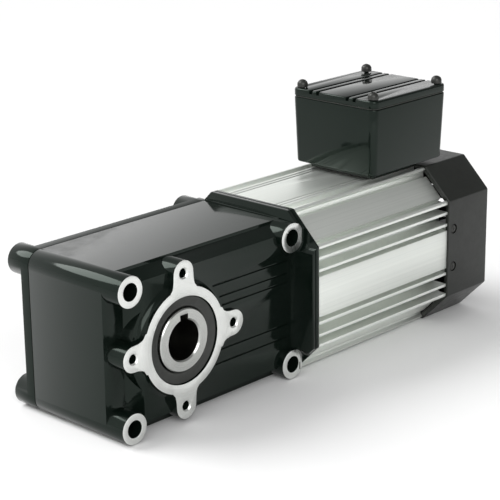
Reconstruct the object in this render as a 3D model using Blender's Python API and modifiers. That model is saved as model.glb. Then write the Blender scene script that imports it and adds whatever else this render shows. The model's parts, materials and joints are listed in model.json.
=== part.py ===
"""Right-angle gearmotor with a hollow output shaft, built as an assembly of separate pieces.

Every size is in millimetres and is scaled to metres when a piece is made. In these sizes the output shaft
turns on the line x = 0, z = 0, its mounting face is the plane y = 0, the motor runs towards +X and +Z is up.
The parent empty moves the whole assembly, so that the world's origin is under the middle of its box.
"""

import math

import bmesh
import bpy
from mathutils import Euler, Quaternion

MM = 0.001
GAP = 0.3

# Through-bolt bosses, which set the size of the gear case
BOSS_PITCH_X = 137.3
BOSS_PITCH_Z = 84.0
BOSS_RADIUS = 9.5
BOSS_HOLE_RADIUS = 5.5
BOSS_LENGTH = 97.0
SHAFT_FROM_LEFT_BOSSES = 42.4
SHAFT_ABOVE_BOSS_MIDDLE = 1.0

# Gear case
CASE_FRONT = 14.0
CASE_SEAM = 77.5
CASE_REAR = 85.3
CASE_RIGHT = 97.0
CASE_WALL = 5.0
PANEL_FRONT = 5.0
PANEL_SLOPE = 8.0
PANEL_GROOVES = (25.3, 17.1, 11.2, -16.9, -25.4)
GASKET = 0.6

# Output flange and hollow shaft
FLANGE_RADIUS = 33.0
EAR_CIRCLE_RADIUS = 41.6
EAR_RADIUS = 8.0
EAR_HOLE_RADIUS = 3.0
EAR_HOLE_DEPTH = 13.0
SEAL_RADIUS = 27.3
SHAFT_RADIUS = 19.6
SHAFT_BORE_RADIUS = 12.5
KEYWAY_WIDTH = 6.4
KEYWAY_TOP = 16.2
OUTPUT_BEARING_RADIUS = 31.0
OUTPUT_BEARING_WIDTH = 12.0
BEARING_BOSS_RADIUS = 36.0

# Motor
MOTOR_Y = 40.5
MOTOR_Z = 2.4
MOTOR_HALF_WIDTH = 54.0
MOTOR_CHAMFER = 20.75
FLANGE_START = 98.6
FLANGE_END = 104.6
MOTOR_LENGTH = 132.1
MOTOR_BORE_RADIUS = 45.5
STATOR_START = 125.0
STATOR_END = 205.0
COWL_HALF_WIDTH = 54.9
COWL_LENGTH = 45.4
COWL_WALL = 2.6

# Terminal box
BOX_LEFT = 179.4
BOX_RIGHT = 257.0
BOX_FRONT = 4.4
BOX_REAR = 75.8
BOX_LOW = 61.0
BOX_HIGH = 111.8
LID_THICKNESS = 4.9
BOX_CORNER_RADIUS = 5.0
LID_GROOVES = (-18.8, -12.8, 12.8, 18.8)

# Gear train: teeth, modules and the places of the gears along X
PRESSURE_ANGLE = math.radians(20)
PROFILE_SHIFT = 0.4
BACKLASH = 0.16
MOTOR_PINION_TEETH = 12
LAYSHAFT_GEAR_TEETH = 30
MOTOR_MODULE = 1.25
LAYSHAFT_PINION_TEETH = 10
PINION_GEAR_TEETH = 22
LAYSHAFT_MODULE = 1.5
BEVEL_PINION_TEETH = 10
BEVEL_WHEEL_TEETH = 30
BEVEL_WHEEL_RADIUS = 41.0
BEVEL_FACE_WIDTH = 13.0
PINION_SHAFT_RADIUS = 6.7
LAYSHAFT_RADIUS = 5.7
LAYSHAFT_END_RADIUS = 3.7
ROTOR_SHAFT_RADIUS = 7.5

# Worked out from the sizes above
BOSS_LEFT = -SHAFT_FROM_LEFT_BOSSES
BOSS_RIGHT = BOSS_LEFT + BOSS_PITCH_X
BOSS_HIGH = BOSS_PITCH_Z / 2 - SHAFT_ABOVE_BOSS_MIDDLE
BOSS_LOW = BOSS_HIGH - BOSS_PITCH_Z
CASE_LEFT = BOSS_LEFT - BOSS_RADIUS
CASE_HIGH = BOSS_HIGH + BOSS_RADIUS
CASE_LOW = BOSS_LOW - BOSS_RADIUS
MOTOR_START = FLANGE_END + GAP
MOTOR_END = MOTOR_START + MOTOR_LENGTH
COWL_START = MOTOR_END + GAP
COWL_END = COWL_START + COWL_LENGTH
COVER_START = CASE_SEAM + 2 * GAP + GASKET

# Rotations that lay a piece's own Z axis along a world axis
ALONG_X = (math.pi / 2, 0, math.pi / 2)
ALONG_Y = (-math.pi / 2, 0, 0)
ALONG_Z = (0, 0, 0)

LAYSHAFT_RISE = (
    MOTOR_Z**2
    - (MOTOR_MODULE * (MOTOR_PINION_TEETH + LAYSHAFT_GEAR_TEETH) / 2) ** 2
    + (LAYSHAFT_MODULE * (LAYSHAFT_PINION_TEETH + PINION_GEAR_TEETH) / 2) ** 2
) / (2 * MOTOR_Z)
LAYSHAFT_REACH = math.sqrt(
    (LAYSHAFT_MODULE * (LAYSHAFT_PINION_TEETH + PINION_GEAR_TEETH) / 2) ** 2 - LAYSHAFT_RISE**2
)
MOTOR_AXIS = (MOTOR_Y, MOTOR_Z)
PINION_AXIS = (MOTOR_Y, 0.0)
LAYSHAFT_AXIS = (MOTOR_Y + LAYSHAFT_REACH, LAYSHAFT_RISE)


def clear_scene():
    for obj in list(bpy.data.objects):
        bpy.data.objects.remove(obj, do_unlink=True)


def make_collection(name, hidden=False):
    collection = bpy.data.collections.new(name)
    collection.hide_render = hidden
    bpy.context.scene.collection.children.link(collection)
    return collection


def make_material(name, colour, roughness, metallic=0.0):
    material = bpy.data.materials.new(name)
    material.use_nodes = True
    shader = material.node_tree.nodes["Principled BSDF"]
    shader.inputs["Base Color"].default_value = (*colour, 1.0)
    shader.inputs["Roughness"].default_value = roughness
    shader.inputs["Metallic"].default_value = metallic
    return material


clear_scene()
PARTS = make_collection("gearmotor")
CUTTERS = make_collection("cutters", hidden=True)
FRAME = bpy.data.objects.new("assembly_frame", None)
FRAME.location = (
    -MM * (CASE_LEFT + COWL_END) / 2,
    -MM * (MOTOR_Y - COWL_HALF_WIDTH + BOSS_LENGTH) / 2,
    -MM * CASE_LOW,
)
PARTS.objects.link(FRAME)

BLACK_PAINT = make_material("black_paint", (0.012, 0.014, 0.012), 0.22)
BLACK_PLASTIC = make_material("black_plastic", (0.02, 0.022, 0.02), 0.45)
ALUMINIUM = make_material("satin_aluminium", (0.72, 0.74, 0.72), 0.35, 1.0)
STEEL = make_material("steel", (0.6, 0.6, 0.6), 0.25, 1.0)
DARK_STEEL = make_material("blackened_steel", (0.03, 0.03, 0.03), 0.4, 0.6)
RUBBER = make_material("seal_rubber", (0.03, 0.033, 0.03), 0.6)
GASKET_PAPER = make_material("gasket", (0.15, 0.14, 0.12), 0.9)
COPPER = make_material("winding", (0.45, 0.18, 0.08), 0.4, 0.6)
LAMINATION = make_material("lamination", (0.25, 0.26, 0.27), 0.5, 0.8)
BRONZE = make_material("wheel_bronze", (0.5, 0.36, 0.16), 0.35, 1.0)
TERMINAL = make_material("terminal_plastic", (0.6, 0.58, 0.5), 0.5)


# ---------------------------------------------------------------- shapes


def add_object(name, data, place, turn=ALONG_Z, material=None):
    """An object in the assembly's millimetres; without a material it is a cutter or is to be joined."""
    obj = bpy.data.objects.new(name, data)
    obj.parent = FRAME
    obj.location = [MM * value for value in place]
    obj.rotation_euler = turn
    if material:
        data.materials.append(material)
        PARTS.objects.link(obj)
    else:
        obj.hide_render = True
        obj.display_type = "WIRE"
        CUTTERS.objects.link(obj)
    return obj


def mesh_from(name, work):
    bmesh.ops.recalc_face_normals(work, faces=work.faces)
    mesh = bpy.data.meshes.new(name)
    work.to_mesh(mesh)
    work.free()
    return mesh


def box(name, low, high, material=None):
    work = bmesh.new()
    bmesh.ops.create_cube(work, size=1.0)
    sizes = [MM * (b - a) for a, b in zip(low, high)]
    bmesh.ops.scale(work, vec=sizes, verts=work.verts)
    middle = [(a + b) / 2 for a, b in zip(low, high)]
    return add_object(name, mesh_from(name, work), middle, material=material)


def on_axis(turn, centre, along):
    """The point at this distance along an axis that crosses the other two coordinates at centre."""
    if turn == ALONG_X:
        return (along, centre[0], centre[1])
    if turn == ALONG_Y:
        return (centre[0], along, centre[1])
    return (centre[0], centre[1], along)


def rod(name, turn, centre, radius, start, end, material=None, segments=24):
    work = bmesh.new()
    bmesh.ops.create_cone(
        work,
        cap_ends=True,
        segments=segments,
        radius1=MM * radius,
        radius2=MM * radius,
        depth=MM * (end - start),
    )
    mesh = mesh_from(name, work)
    mesh.shade_smooth()
    mesh.set_sharp_from_angle(angle=math.radians(40))
    return add_object(name, mesh, on_axis(turn, centre, (start + end) / 2), turn, material)


def area(outline):
    following = outline[1:] + outline[:1]
    return sum(a[0] * b[1] - b[0] * a[1] for a, b in zip(outline, following)) / 2


def turned(name, turn, centre, profile, material=None, steps=32):
    """A turned ring or shaft: profile is a closed loop of (radius, place along the axis)."""
    if area(profile) > 0:
        profile = profile[::-1]
    work = bmesh.new()
    points = [work.verts.new((MM * radius, 0, MM * along)) for radius, along in profile]
    for first, second in zip(points, points[1:] + points[:1]):
        if first.co.x > 0 or second.co.x > 0:
            work.edges.new((first, second))
    mesh = bpy.data.meshes.new(name)
    work.to_mesh(mesh)
    work.free()
    obj = add_object(name, mesh, on_axis(turn, centre, 0), turn, material)
    screw = obj.modifiers.new("turn", "SCREW")
    screw.steps = steps
    screw.render_steps = steps
    screw.use_merge_vertices = True
    screw.merge_threshold = 0.00001
    screw.use_smooth_shade = False
    return obj


def ring(name, turn, centre, inner, outer, start, end, material=None, steps=32):
    profile = [(inner, start), (outer, start), (outer, end), (inner, end)]
    return turned(name, turn, centre, profile, material, steps)


def plate(name, turn, centre, outline, start, end, material=None):
    """A flat outline extruded along an axis."""
    curve = bpy.data.curves.new(name, "CURVE")
    curve.dimensions = "2D"
    curve.fill_mode = "BOTH"
    curve.extrude = MM * (end - start) / 2
    spline = curve.splines.new("POLY")
    spline.points.add(len(outline) - 1)
    for point, (x, y) in zip(spline.points, outline):
        point.co = (MM * x, MM * y, 0, 1)
    spline.use_cyclic_u = True
    flat = bpy.data.objects.new(name + "_outline", curve)
    bpy.context.scene.collection.objects.link(flat)
    graph = bpy.context.evaluated_depsgraph_get()
    mesh = bpy.data.meshes.new_from_object(flat.evaluated_get(graph))
    bpy.data.objects.remove(flat, do_unlink=True)
    work = bmesh.new()
    work.from_mesh(mesh)
    bpy.data.meshes.remove(mesh)
    bmesh.ops.remove_doubles(work, verts=work.verts, dist=0.000001)
    bmesh.ops.dissolve_limit(work, angle_limit=0.001, verts=work.verts, edges=work.edges)
    return add_object(
        name, mesh_from(name, work), on_axis(turn, centre, (start + end) / 2), turn, material
    )


def loft(name, turn, place, rings, material=None):
    """Faces between rings of equally many points, with both ends closed on a point of the axis."""
    work = bmesh.new()
    loops = [[work.verts.new([MM * value for value in point]) for point in points] for points in rings]
    for low, high in zip(loops, loops[1:]):
        for i in range(len(low)):
            j = (i + 1) % len(low)
            work.faces.new((low[i], low[j], high[j], high[i]))
    for loop, along in ((loops[0], rings[0]), (loops[-1], rings[-1])):
        middle = work.verts.new((0, 0, MM * sum(point[2] for point in along) / len(along)))
        for i in range(len(loop)):
            work.faces.new((loop[i], loop[(i + 1) % len(loop)], middle))
    return add_object(name, mesh_from(name, work), place, turn, material)


def boolean(obj, other, operation, solver="EXACT"):
    modifier = obj.modifiers.new(other.name, "BOOLEAN")
    modifier.object = other
    modifier.operation = operation
    modifier.solver = solver


def cut(obj, *others):
    for other in others:
        boolean(obj, other, "DIFFERENCE")
    return obj


def join(obj, *others):
    for other in others:
        boolean(obj, other, "UNION")
    return obj


# ---------------------------------------------------------------- outlines


def arc(centre, radius, start, end, steps):
    """Points of an arc, with its angles in degrees and both its ends included."""
    angles = [math.radians(start + (end - start) * i / steps) for i in range(steps + 1)]
    return [(centre[0] + radius * math.cos(a), centre[1] + radius * math.sin(a)) for a in angles]


def rounded_rectangle(low, high, radii, steps=4):
    """Corner radii run anticlockwise from the corner at high x and high y."""
    corners = [(high[0], high[1]), (low[0], high[1]), (low[0], low[1]), (high[0], low[1])]
    signs = [(-1, -1), (1, -1), (1, 1), (-1, 1)]
    outline = []
    for quarter, (corner, sign, radius) in enumerate(zip(corners, signs, radii)):
        if radius == 0:
            outline.append(corner)
            continue
        centre = (corner[0] + sign[0] * radius, corner[1] + sign[1] * radius)
        outline += arc(centre, radius, 90 * quarter, 90 * quarter + 90, steps)
    return outline


def octagon(half_width, chamfer):
    """A square with its corners cut at 45 degrees, about the origin."""
    near = half_width - chamfer
    eighth = [(half_width, near), (near, half_width)]
    outline = []
    for quarter in range(4):
        for x, y in eighth:
            for _ in range(quarter):
                x, y = -y, x
            outline.append((x, y))
    return outline


def involute(angle):
    return math.tan(angle) - angle


def tooth_flank(pitch_radius, base_radius, module, shift, steps):
    """(radius, half the angle that the tooth fills there) from the root to the tip."""
    root = pitch_radius + module * (shift - 1.22)
    tip = pitch_radius + module * (shift + 0.95)
    thickness = module * (math.pi / 2 + 2 * shift * math.tan(PRESSURE_ANGLE)) - BACKLASH
    at_pitch = thickness / (2 * pitch_radius) + involute(PRESSURE_ANGLE)
    lowest = max(base_radius, root)
    flank = [(root, at_pitch - involute(math.acos(base_radius / lowest)))]
    for i in range(1, steps + 1):
        radius = lowest + (tip - lowest) * i / steps
        flank.append((radius, at_pitch - involute(math.acos(base_radius / radius))))
    return flank


def gear_outline(teeth, module, shift, phase, steps=2):
    """A spur gear's outline, with the middle of a tooth at this angle."""
    pitch_radius = module * teeth / 2
    flank = tooth_flank(pitch_radius, pitch_radius * math.cos(PRESSURE_ANGLE), module, shift, steps)
    outline = []
    for tooth in range(teeth):
        middle = phase + 2 * math.pi * tooth / teeth
        sides = [(radius, middle - half) for radius, half in flank]
        sides += [(radius, middle + half) for radius, half in reversed(flank)]
        outline += [(radius * math.cos(angle), radius * math.sin(angle)) for radius, angle in sides]
    return outline


def bevel_rings(teeth, other_teeth, radius, face_width, shift, phase, steps):
    """The large and small ends of a straight bevel gear, whose pitch cone has its point at the origin."""
    cone = math.atan2(teeth, other_teeth)
    cone_length = radius / math.sin(cone)
    module = 2 * radius / teeth
    back_radius = radius / math.cos(cone)
    base_radius = back_radius * math.cos(PRESSURE_ANGLE)
    flank = tooth_flank(back_radius, base_radius, module, shift, steps)
    outer = []
    for tooth in range(teeth):
        middle = phase + 2 * math.pi * tooth / teeth
        sides = [(reach, middle - half / math.cos(cone)) for reach, half in flank]
        sides += [(reach, middle + half / math.cos(cone)) for reach, half in reversed(flank)]
        for reach, angle in sides:
            across = reach * math.cos(cone)
            along = cone_length * math.cos(cone) - (reach - back_radius) * math.sin(cone)
            outer.append((across * math.cos(angle), across * math.sin(angle), along))
    scale = 1 - face_width / cone_length
    inner = [tuple(scale * value for value in point) for point in outer]
    return inner, outer


# ---------------------------------------------------------------- gear case


def boss_centres():
    return [(x, z) for x in (BOSS_LEFT, BOSS_RIGHT) for z in (BOSS_LOW, BOSS_HIGH)]


def case_outline():
    """The case seen along Y, just inside the bosses, which make its left corners round.

    It is drawn upside down, as a plate that is laid along Y needs it.
    """
    left, low, high = CASE_LEFT + 0.1, -CASE_HIGH + 0.1, -CASE_LOW - 0.1
    right = FLANGE_START + 0.5
    return [
        (right, high), (BOSS_LEFT, high), (left, -BOSS_LOW), (left, -BOSS_HIGH),
        (BOSS_LEFT, low), (right, low),
    ]


def ear_outline(angle, base_half_width):
    """An ear of the output flange, seen along Y, from inside the flange ring to its round end."""
    outline = arc((EAR_CIRCLE_RADIUS, 0), EAR_RADIUS, -80, 80, 8)
    outline += [(SEAL_RADIUS + 1, base_half_width), (SEAL_RADIUS + 1, -base_half_width)]
    cosine, sine = math.cos(angle), math.sin(angle)
    return [(x * cosine - y * sine, x * sine + y * cosine) for x, y in outline]


def raised_panel():
    """The raised front panel, whose top, bottom and left sides slope back to the case."""
    low = (BOSS_LEFT + 4.9, PANEL_FRONT, CASE_LOW + 1.5)
    high = (FLANGE_START + 0.8, CASE_FRONT + 2.0, CASE_HIGH - 1.0)
    panel = box("panel_form", low, high)
    half_height = (high[2] - low[2]) / 2
    for vertex in panel.data.vertices:
        if vertex.co.y < 0:
            vertex.co.z *= (half_height - 0.8 * PANEL_SLOPE) / half_height
            if vertex.co.x < 0:
                vertex.co.x += MM * PANEL_SLOPE
    return panel


def hub_form(name, face, direction, back):
    """A round hub with its face at this place, a sloped foot and its back inside the case."""
    foot = face + direction * PANEL_FRONT
    profile = [
        (0, face), (FLANGE_RADIUS, face), (FLANGE_RADIUS, face + direction * 1.0),
        (FLANGE_RADIUS + 5.6, foot + direction * 0.3),
        (FLANGE_RADIUS + 5.6, back), (0, back),
    ]
    return turned(name, ALONG_Y, (0, 0), profile, steps=32)


def make_gear_housing():
    housing = plate(
        "gear_housing", ALONG_Y, (0, 0), case_outline(), CASE_FRONT, CASE_SEAM, BLACK_PAINT
    )
    join(housing, raised_panel())
    flange = plate(
        "flange_form",
        ALONG_X,
        MOTOR_AXIS,
        octagon(MOTOR_HALF_WIDTH, MOTOR_CHAMFER),
        FLANGE_START,
        FLANGE_END,
    )
    join(housing, flange)
    for number, centre in enumerate(boss_centres()):
        join(housing, rod(f"boss_form_{number}", ALONG_Y, centre, BOSS_RADIUS, 0, CASE_SEAM))
    join(housing, hub_form("hub_form", 0, 1, CASE_FRONT + 2))
    for number in range(4):
        width = EAR_RADIUS if number % 2 else EAR_RADIUS + 3.5
        outline = ear_outline(number * math.pi / 2, width)
        join(housing, plate(f"ear_form_{number}", ALONG_Y, (0, 0), outline, 0, CASE_FRONT + 2))

    # The cavity leaves the bosses, the front bearing's boss and the cover screws' bosses standing.
    wall = CASE_WALL
    cavity = box(
        "cavity",
        (CASE_LEFT + wall, CASE_FRONT + 3.0, CASE_LOW + wall),
        (CASE_RIGHT - 6.0, CASE_SEAM + 5.0, CASE_HIGH - wall),
    )
    for number, centre in enumerate(boss_centres()):
        cut(cavity, rod(f"boss_core_{number}", ALONG_Y, centre, BOSS_RADIUS, 0, CASE_SEAM + 10))
    bearing_end = CASE_FRONT + 10.0
    cut(cavity, rod("bearing_boss", ALONG_Y, (0, 0), BEARING_BOSS_RADIUS, 0, bearing_end, segments=32))
    for number, centre in enumerate(cover_screw_centres()):
        cut(cavity, rod(f"screw_boss_{number}", ALONG_Y, centre, 5.0, 58, CASE_SEAM + 10, segments=16))
    cut(housing, cavity)

    for number, centre in enumerate(cover_screw_centres()):
        cut(housing, rod(f"screw_hole_{number}", ALONG_Y, centre, 2.0, 64, CASE_SEAM + 5, segments=8))
    for number, centre in enumerate(boss_centres()):
        hole = rod(f"boss_hole_{number}", ALONG_Y, centre, BOSS_HOLE_RADIUS, -5, 110, segments=24)
        cut(housing, hole)
    # Spot faces clear the motor flange in front of the two right bosses.
    for number, z in enumerate((BOSS_LOW, BOSS_HIGH)):
        cut(housing, rod(f"spot_face_{number}", ALONG_Y, (BOSS_RIGHT, z), BOSS_RADIUS + 0.5, -20, 0))
    cut(housing, rod("seal_seat", ALONG_Y, (0, 0), SEAL_RADIUS, -5, 10.5, segments=32))
    cut(housing, rod("bearing_seat", ALONG_Y, (0, 0), OUTPUT_BEARING_RADIUS, 10.0, 30, segments=32))
    for number in range(4):
        angle = number * math.pi / 2
        centre = (EAR_CIRCLE_RADIUS * math.cos(angle), EAR_CIRCLE_RADIUS * math.sin(angle))
        hole = rod(f"ear_hole_{number}", ALONG_Y, centre, EAR_HOLE_RADIUS, -5, EAR_HOLE_DEPTH, segments=16)
        cut(housing, hole)
    seat_start = CASE_RIGHT - 4.5
    cut(housing, rod("motor_bearing_seat", ALONG_X, MOTOR_AXIS, 17.3, seat_start, 120))
    cut(housing, rod("pinion_way", ALONG_X, MOTOR_AXIS, 10.5, 85, 100, segments=24))
    cut(housing, rod("layshaft_seat", ALONG_X, LAYSHAFT_AXIS, 7.3, 85, CASE_RIGHT + 1.0, segments=24))
    for number, z in enumerate(PANEL_GROOVES):
        start = math.sqrt((FLANGE_RADIUS + 5.6) ** 2 - z**2)
        low = (start, PANEL_FRONT - 3, z - 0.45)
        cut(housing, box(f"panel_groove_{number}", low, (CASE_RIGHT - 0.1, PANEL_FRONT + 0.9, z + 0.45)))
    return housing


def cover_screw_centres():
    return [(x, z) for x in (14.0, 68.0) for z in (CASE_LOW + 5.5, CASE_HIGH - 5.5)]


def make_housing_cover():
    cover = plate(
        "housing_cover", ALONG_Y, (0, 0), case_outline(), COVER_START, CASE_REAR, BLACK_PAINT
    )
    for number, centre in enumerate(boss_centres()):
        join(cover, rod(f"cover_boss_{number}", ALONG_Y, centre, BOSS_RADIUS, COVER_START, BOSS_LENGTH))
    join(cover, hub_form("cover_hub", BOSS_LENGTH - 1, -1, CASE_REAR - 3))
    inner = rod("cover_bearing_boss", ALONG_Y, (0, 0), 33.6, 73, CASE_REAR - 3, segments=32)
    join(cover, inner)
    for number, centre in enumerate(boss_centres()):
        hole = rod(f"cover_hole_{number}", ALONG_Y, centre, BOSS_HOLE_RADIUS, 70, 110, segments=24)
        cut(cover, hole)
    for number, centre in enumerate(cover_screw_centres()):
        cut(cover, rod(f"cover_screw_hole_{number}", ALONG_Y, centre, 2.4, 70, 110, segments=8))
    cut(cover, rod("rear_bearing_seat", ALONG_Y, (0, 0), OUTPUT_BEARING_RADIUS, 60, 86, segments=32))
    cut(cover, rod("rear_seal_seat", ALONG_Y, (0, 0), SEAL_RADIUS, 85, 110, segments=32))
    clearance = octagon(MOTOR_HALF_WIDTH + GAP, MOTOR_CHAMFER)
    cut(cover, plate("flange_clearance", ALONG_X, MOTOR_AXIS, clearance, FLANGE_START - GAP, 120))
    return cover


def make_cover_gasket():
    start = CASE_SEAM + GAP
    outline = rounded_rectangle(
        (CASE_LEFT + 0.4, -CASE_HIGH + 0.4), (FLANGE_START + 0.5, -CASE_LOW - 0.4), (0, 9, 9, 0), steps=6
    )
    gasket = plate("cover_gasket", ALONG_Y, (0, 0), outline, start, start + GASKET, GASKET_PAPER)
    wall = CASE_WALL
    window = rounded_rectangle(
        (CASE_LEFT + wall + 11, -CASE_HIGH + wall + 11),
        (CASE_RIGHT - 17, -CASE_LOW - wall - 11),
        (6, 6, 6, 6),
        steps=3,
    )
    cut(gasket, plate("gasket_window", ALONG_Y, (0, 0), window, 70, 100))
    for number, centre in enumerate(boss_centres()):
        cut(gasket, rod(f"gasket_hole_{number}", ALONG_Y, centre, 6.0, 70, 100, segments=16))
    for number, centre in enumerate(cover_screw_centres()):
        cut(gasket, rod(f"gasket_screw_hole_{number}", ALONG_Y, centre, 2.4, 70, 100, segments=8))
    cut(gasket, box("gasket_trim", (FLANGE_START - GAP, 70, -60), (120, 100, 60)))
    return gasket


def make_screw(name, turn, centre, head, shank, material=DARK_STEEL):
    """A socket-head screw: head and shank are each (radius, place at the start, place at the end)."""
    screw = rod(name, turn, centre, *head, material, segments=10)
    join(screw, rod(name + "_shank", turn, centre, *shank, segments=6))
    direction = 1 if head[1] > shank[1] else -1
    outer_face = head[2] if direction > 0 else head[1]
    depth = 0.6 * (head[2] - head[1])
    ends = sorted((outer_face - direction * depth, outer_face + direction))
    cut(screw, rod(name + "_socket", turn, centre, 0.5 * head[0], *ends, segments=6))
    return screw


def make_cover_screws():
    for number, centre in enumerate(cover_screw_centres(), 1):
        seat = CASE_REAR + GAP
        make_screw(
            f"cover_screw_{number}", ALONG_Y, centre, (3.5, seat, seat + 3.4), (1.7, 68, seat + 1)
        )


# ---------------------------------------------------------------- output shaft


def make_output_shaft():
    start, end = GAP, BOSS_LENGTH - GAP
    chamfer = 0.8
    profile = [
        (SHAFT_BORE_RADIUS + chamfer, start),
        (SHAFT_RADIUS, start),
        (SHAFT_RADIUS, 22.6),
        (24.0, 22.6),
        (24.0, 46.0),
        (22.0, 46.0),
        (22.0, 72.0),
        (SHAFT_RADIUS, 72.0),
        (SHAFT_RADIUS, end),
        (SHAFT_BORE_RADIUS + chamfer, end),
        (SHAFT_BORE_RADIUS, end - chamfer),
        (SHAFT_BORE_RADIUS, start + chamfer),
    ]
    shaft = turned("output_shaft", ALONG_Y, (0, 0), profile, STEEL, steps=32)
    half = KEYWAY_WIDTH / 2
    cut(shaft, box("keyway", (-half, -5, SHAFT_BORE_RADIUS - 4), (half, 105, KEYWAY_TOP)))
    return shaft


def make_output_bearing(position, start):
    end = start + OUTPUT_BEARING_WIDTH
    inner = SHAFT_RADIUS + GAP
    outer = OUTPUT_BEARING_RADIUS - GAP
    ring(f"output_bearing_{position}_inner", ALONG_Y, (0, 0), inner, inner + 3.4, start, end, STEEL, 24)
    ring(f"output_bearing_{position}_outer", ALONG_Y, (0, 0), inner + 3.8, outer, start, end, STEEL, 24)


def make_oil_seal(position, face, depth_end):
    """A lip seal: its face is set back a little, and its lip stays clear of the turning shaft."""
    outward = 1 if face > depth_end else -1
    profile = [
        (SHAFT_RADIUS + 0.4, face - outward * 1.2),
        (SHAFT_RADIUS + 1.6, face),
        (SEAL_RADIUS - 0.3, face),
        (SEAL_RADIUS - 0.3, depth_end),
        (SHAFT_RADIUS + 2.4, depth_end),
    ]
    turned(f"oil_seal_{position}", ALONG_Y, (0, 0), profile, RUBBER, steps=24)


def make_bevel_wheel():
    phase = math.pi / BEVEL_WHEEL_TEETH
    inner, outer = bevel_rings(
        BEVEL_WHEEL_TEETH, BEVEL_PINION_TEETH, BEVEL_WHEEL_RADIUS, BEVEL_FACE_WIDTH,
        -PROFILE_SHIFT, phase, steps=1,
    )
    wheel = loft("bevel_wheel", ALONG_Y, (0, MOTOR_Y, 0), (inner, outer), BRONZE)
    join(wheel, rod("wheel_hub", ALONG_Y, (0, 0), 26.0, 52.0, 71.0))
    cut(wheel, rod("wheel_bore", ALONG_Y, (0, 0), 22.0 + 2 * GAP, 40, 80))
    return wheel


# ---------------------------------------------------------------- gear train


def angle_to(first, second):
    return math.atan2(second[1] - first[1], second[0] - first[0])


def make_bevel_pinion_shaft():
    radius = BEVEL_WHEEL_RADIUS * BEVEL_PINION_TEETH / BEVEL_WHEEL_TEETH
    inner, outer = bevel_rings(
        BEVEL_PINION_TEETH, BEVEL_WHEEL_TEETH, radius, BEVEL_FACE_WIDTH, PROFILE_SHIFT, 0.0, steps=2
    )
    pinion = loft("bevel_pinion_shaft", ALONG_X, (0, *PINION_AXIS), (inner, outer), STEEL)
    join(pinion, rod("pinion_journal", ALONG_X, PINION_AXIS, PINION_SHAFT_RADIUS, 38, 70.5, segments=24))
    return pinion


def make_pinion_gear():
    phase = angle_to(PINION_AXIS, LAYSHAFT_AXIS) + math.pi / PINION_GEAR_TEETH
    teeth = gear_outline(PINION_GEAR_TEETH, LAYSHAFT_MODULE, -PROFILE_SHIFT, phase, steps=1)
    gear = plate("intermediate_gear", ALONG_X, PINION_AXIS, teeth, 53, 61, STEEL)
    bore = PINION_SHAFT_RADIUS + GAP
    cut(gear, rod("intermediate_bore", ALONG_X, PINION_AXIS, bore, 50, 65, segments=24))


def make_layshaft():
    phase = angle_to(LAYSHAFT_AXIS, PINION_AXIS)
    teeth = gear_outline(LAYSHAFT_PINION_TEETH, LAYSHAFT_MODULE, PROFILE_SHIFT, phase)
    layshaft = plate("layshaft", ALONG_X, LAYSHAFT_AXIS, teeth, 52.5, 61.5, STEEL)
    join(layshaft, rod("layshaft_body", ALONG_X, LAYSHAFT_AXIS, LAYSHAFT_RADIUS, 60, 90, segments=24))
    journals = rod("layshaft_journals", ALONG_X, LAYSHAFT_AXIS, LAYSHAFT_END_RADIUS, 43.5, 96.5, segments=16)
    join(layshaft, journals)
    return layshaft


def make_layshaft_gear():
    phase = angle_to(LAYSHAFT_AXIS, MOTOR_AXIS) + math.pi / LAYSHAFT_GEAR_TEETH
    teeth = gear_outline(LAYSHAFT_GEAR_TEETH, MOTOR_MODULE, -PROFILE_SHIFT, phase, steps=1)
    gear = plate("layshaft_gear", ALONG_X, LAYSHAFT_AXIS, teeth, 74, 82, STEEL)
    bore = LAYSHAFT_RADIUS + GAP
    cut(gear, rod("layshaft_gear_bore", ALONG_X, LAYSHAFT_AXIS, bore, 70, 90, segments=24))


def make_small_bearings():
    small = LAYSHAFT_END_RADIUS + GAP
    large = PINION_SHAFT_RADIUS + GAP
    shaft = ROTOR_SHAFT_RADIUS + GAP
    ring("layshaft_bearing_left", ALONG_X, LAYSHAFT_AXIS, small, 7.0, 44, 49, STEEL, 16)
    ring("layshaft_bearing_right", ALONG_X, LAYSHAFT_AXIS, small, 7.0, 91.5, 96.5, STEEL, 16)
    ring("pinion_bearing_left", ALONG_X, PINION_AXIS, large, 11.0, 43.6, 51, STEEL, 16)
    ring("pinion_bearing_right", ALONG_X, PINION_AXIS, large, 11.0, 63.4, 68.6, STEEL, 16)
    ring("motor_bearing_front", ALONG_X, MOTOR_AXIS, shaft, 17.0, 93, 104, STEEL, 24)
    ring("motor_bearing_rear", ALONG_X, MOTOR_AXIS, shaft, 17.0, 231.3, 242.1, STEEL, 24)


def make_bearing_carrier():
    """Two webs on a foot that stands on the inside of the case's front wall."""
    foot = CASE_FRONT + 3.0 + GAP
    carrier = box("bearing_carrier", (43.3, foot, -36), (69.0, foot + 4.4, 16), ALUMINIUM)
    for number, (start, end) in enumerate(((43.3, 51.3), (63.0, 69.0))):
        join(carrier, box(f"carrier_web_{number}", (start, foot, -36), (end, 64, 16)))
    cut(carrier, rod("carrier_pinion_bore", ALONG_X, PINION_AXIS, 11.0 + GAP, 40, 75, segments=24))
    cut(carrier, rod("carrier_layshaft_seat", ALONG_X, LAYSHAFT_AXIS, 7.0 + GAP, 40, 56, segments=24))
    cut(carrier, rod("carrier_layshaft_way", ALONG_X, LAYSHAFT_AXIS, 7.5, 56, 75, segments=24))
    return carrier


# ---------------------------------------------------------------- motor


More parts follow.
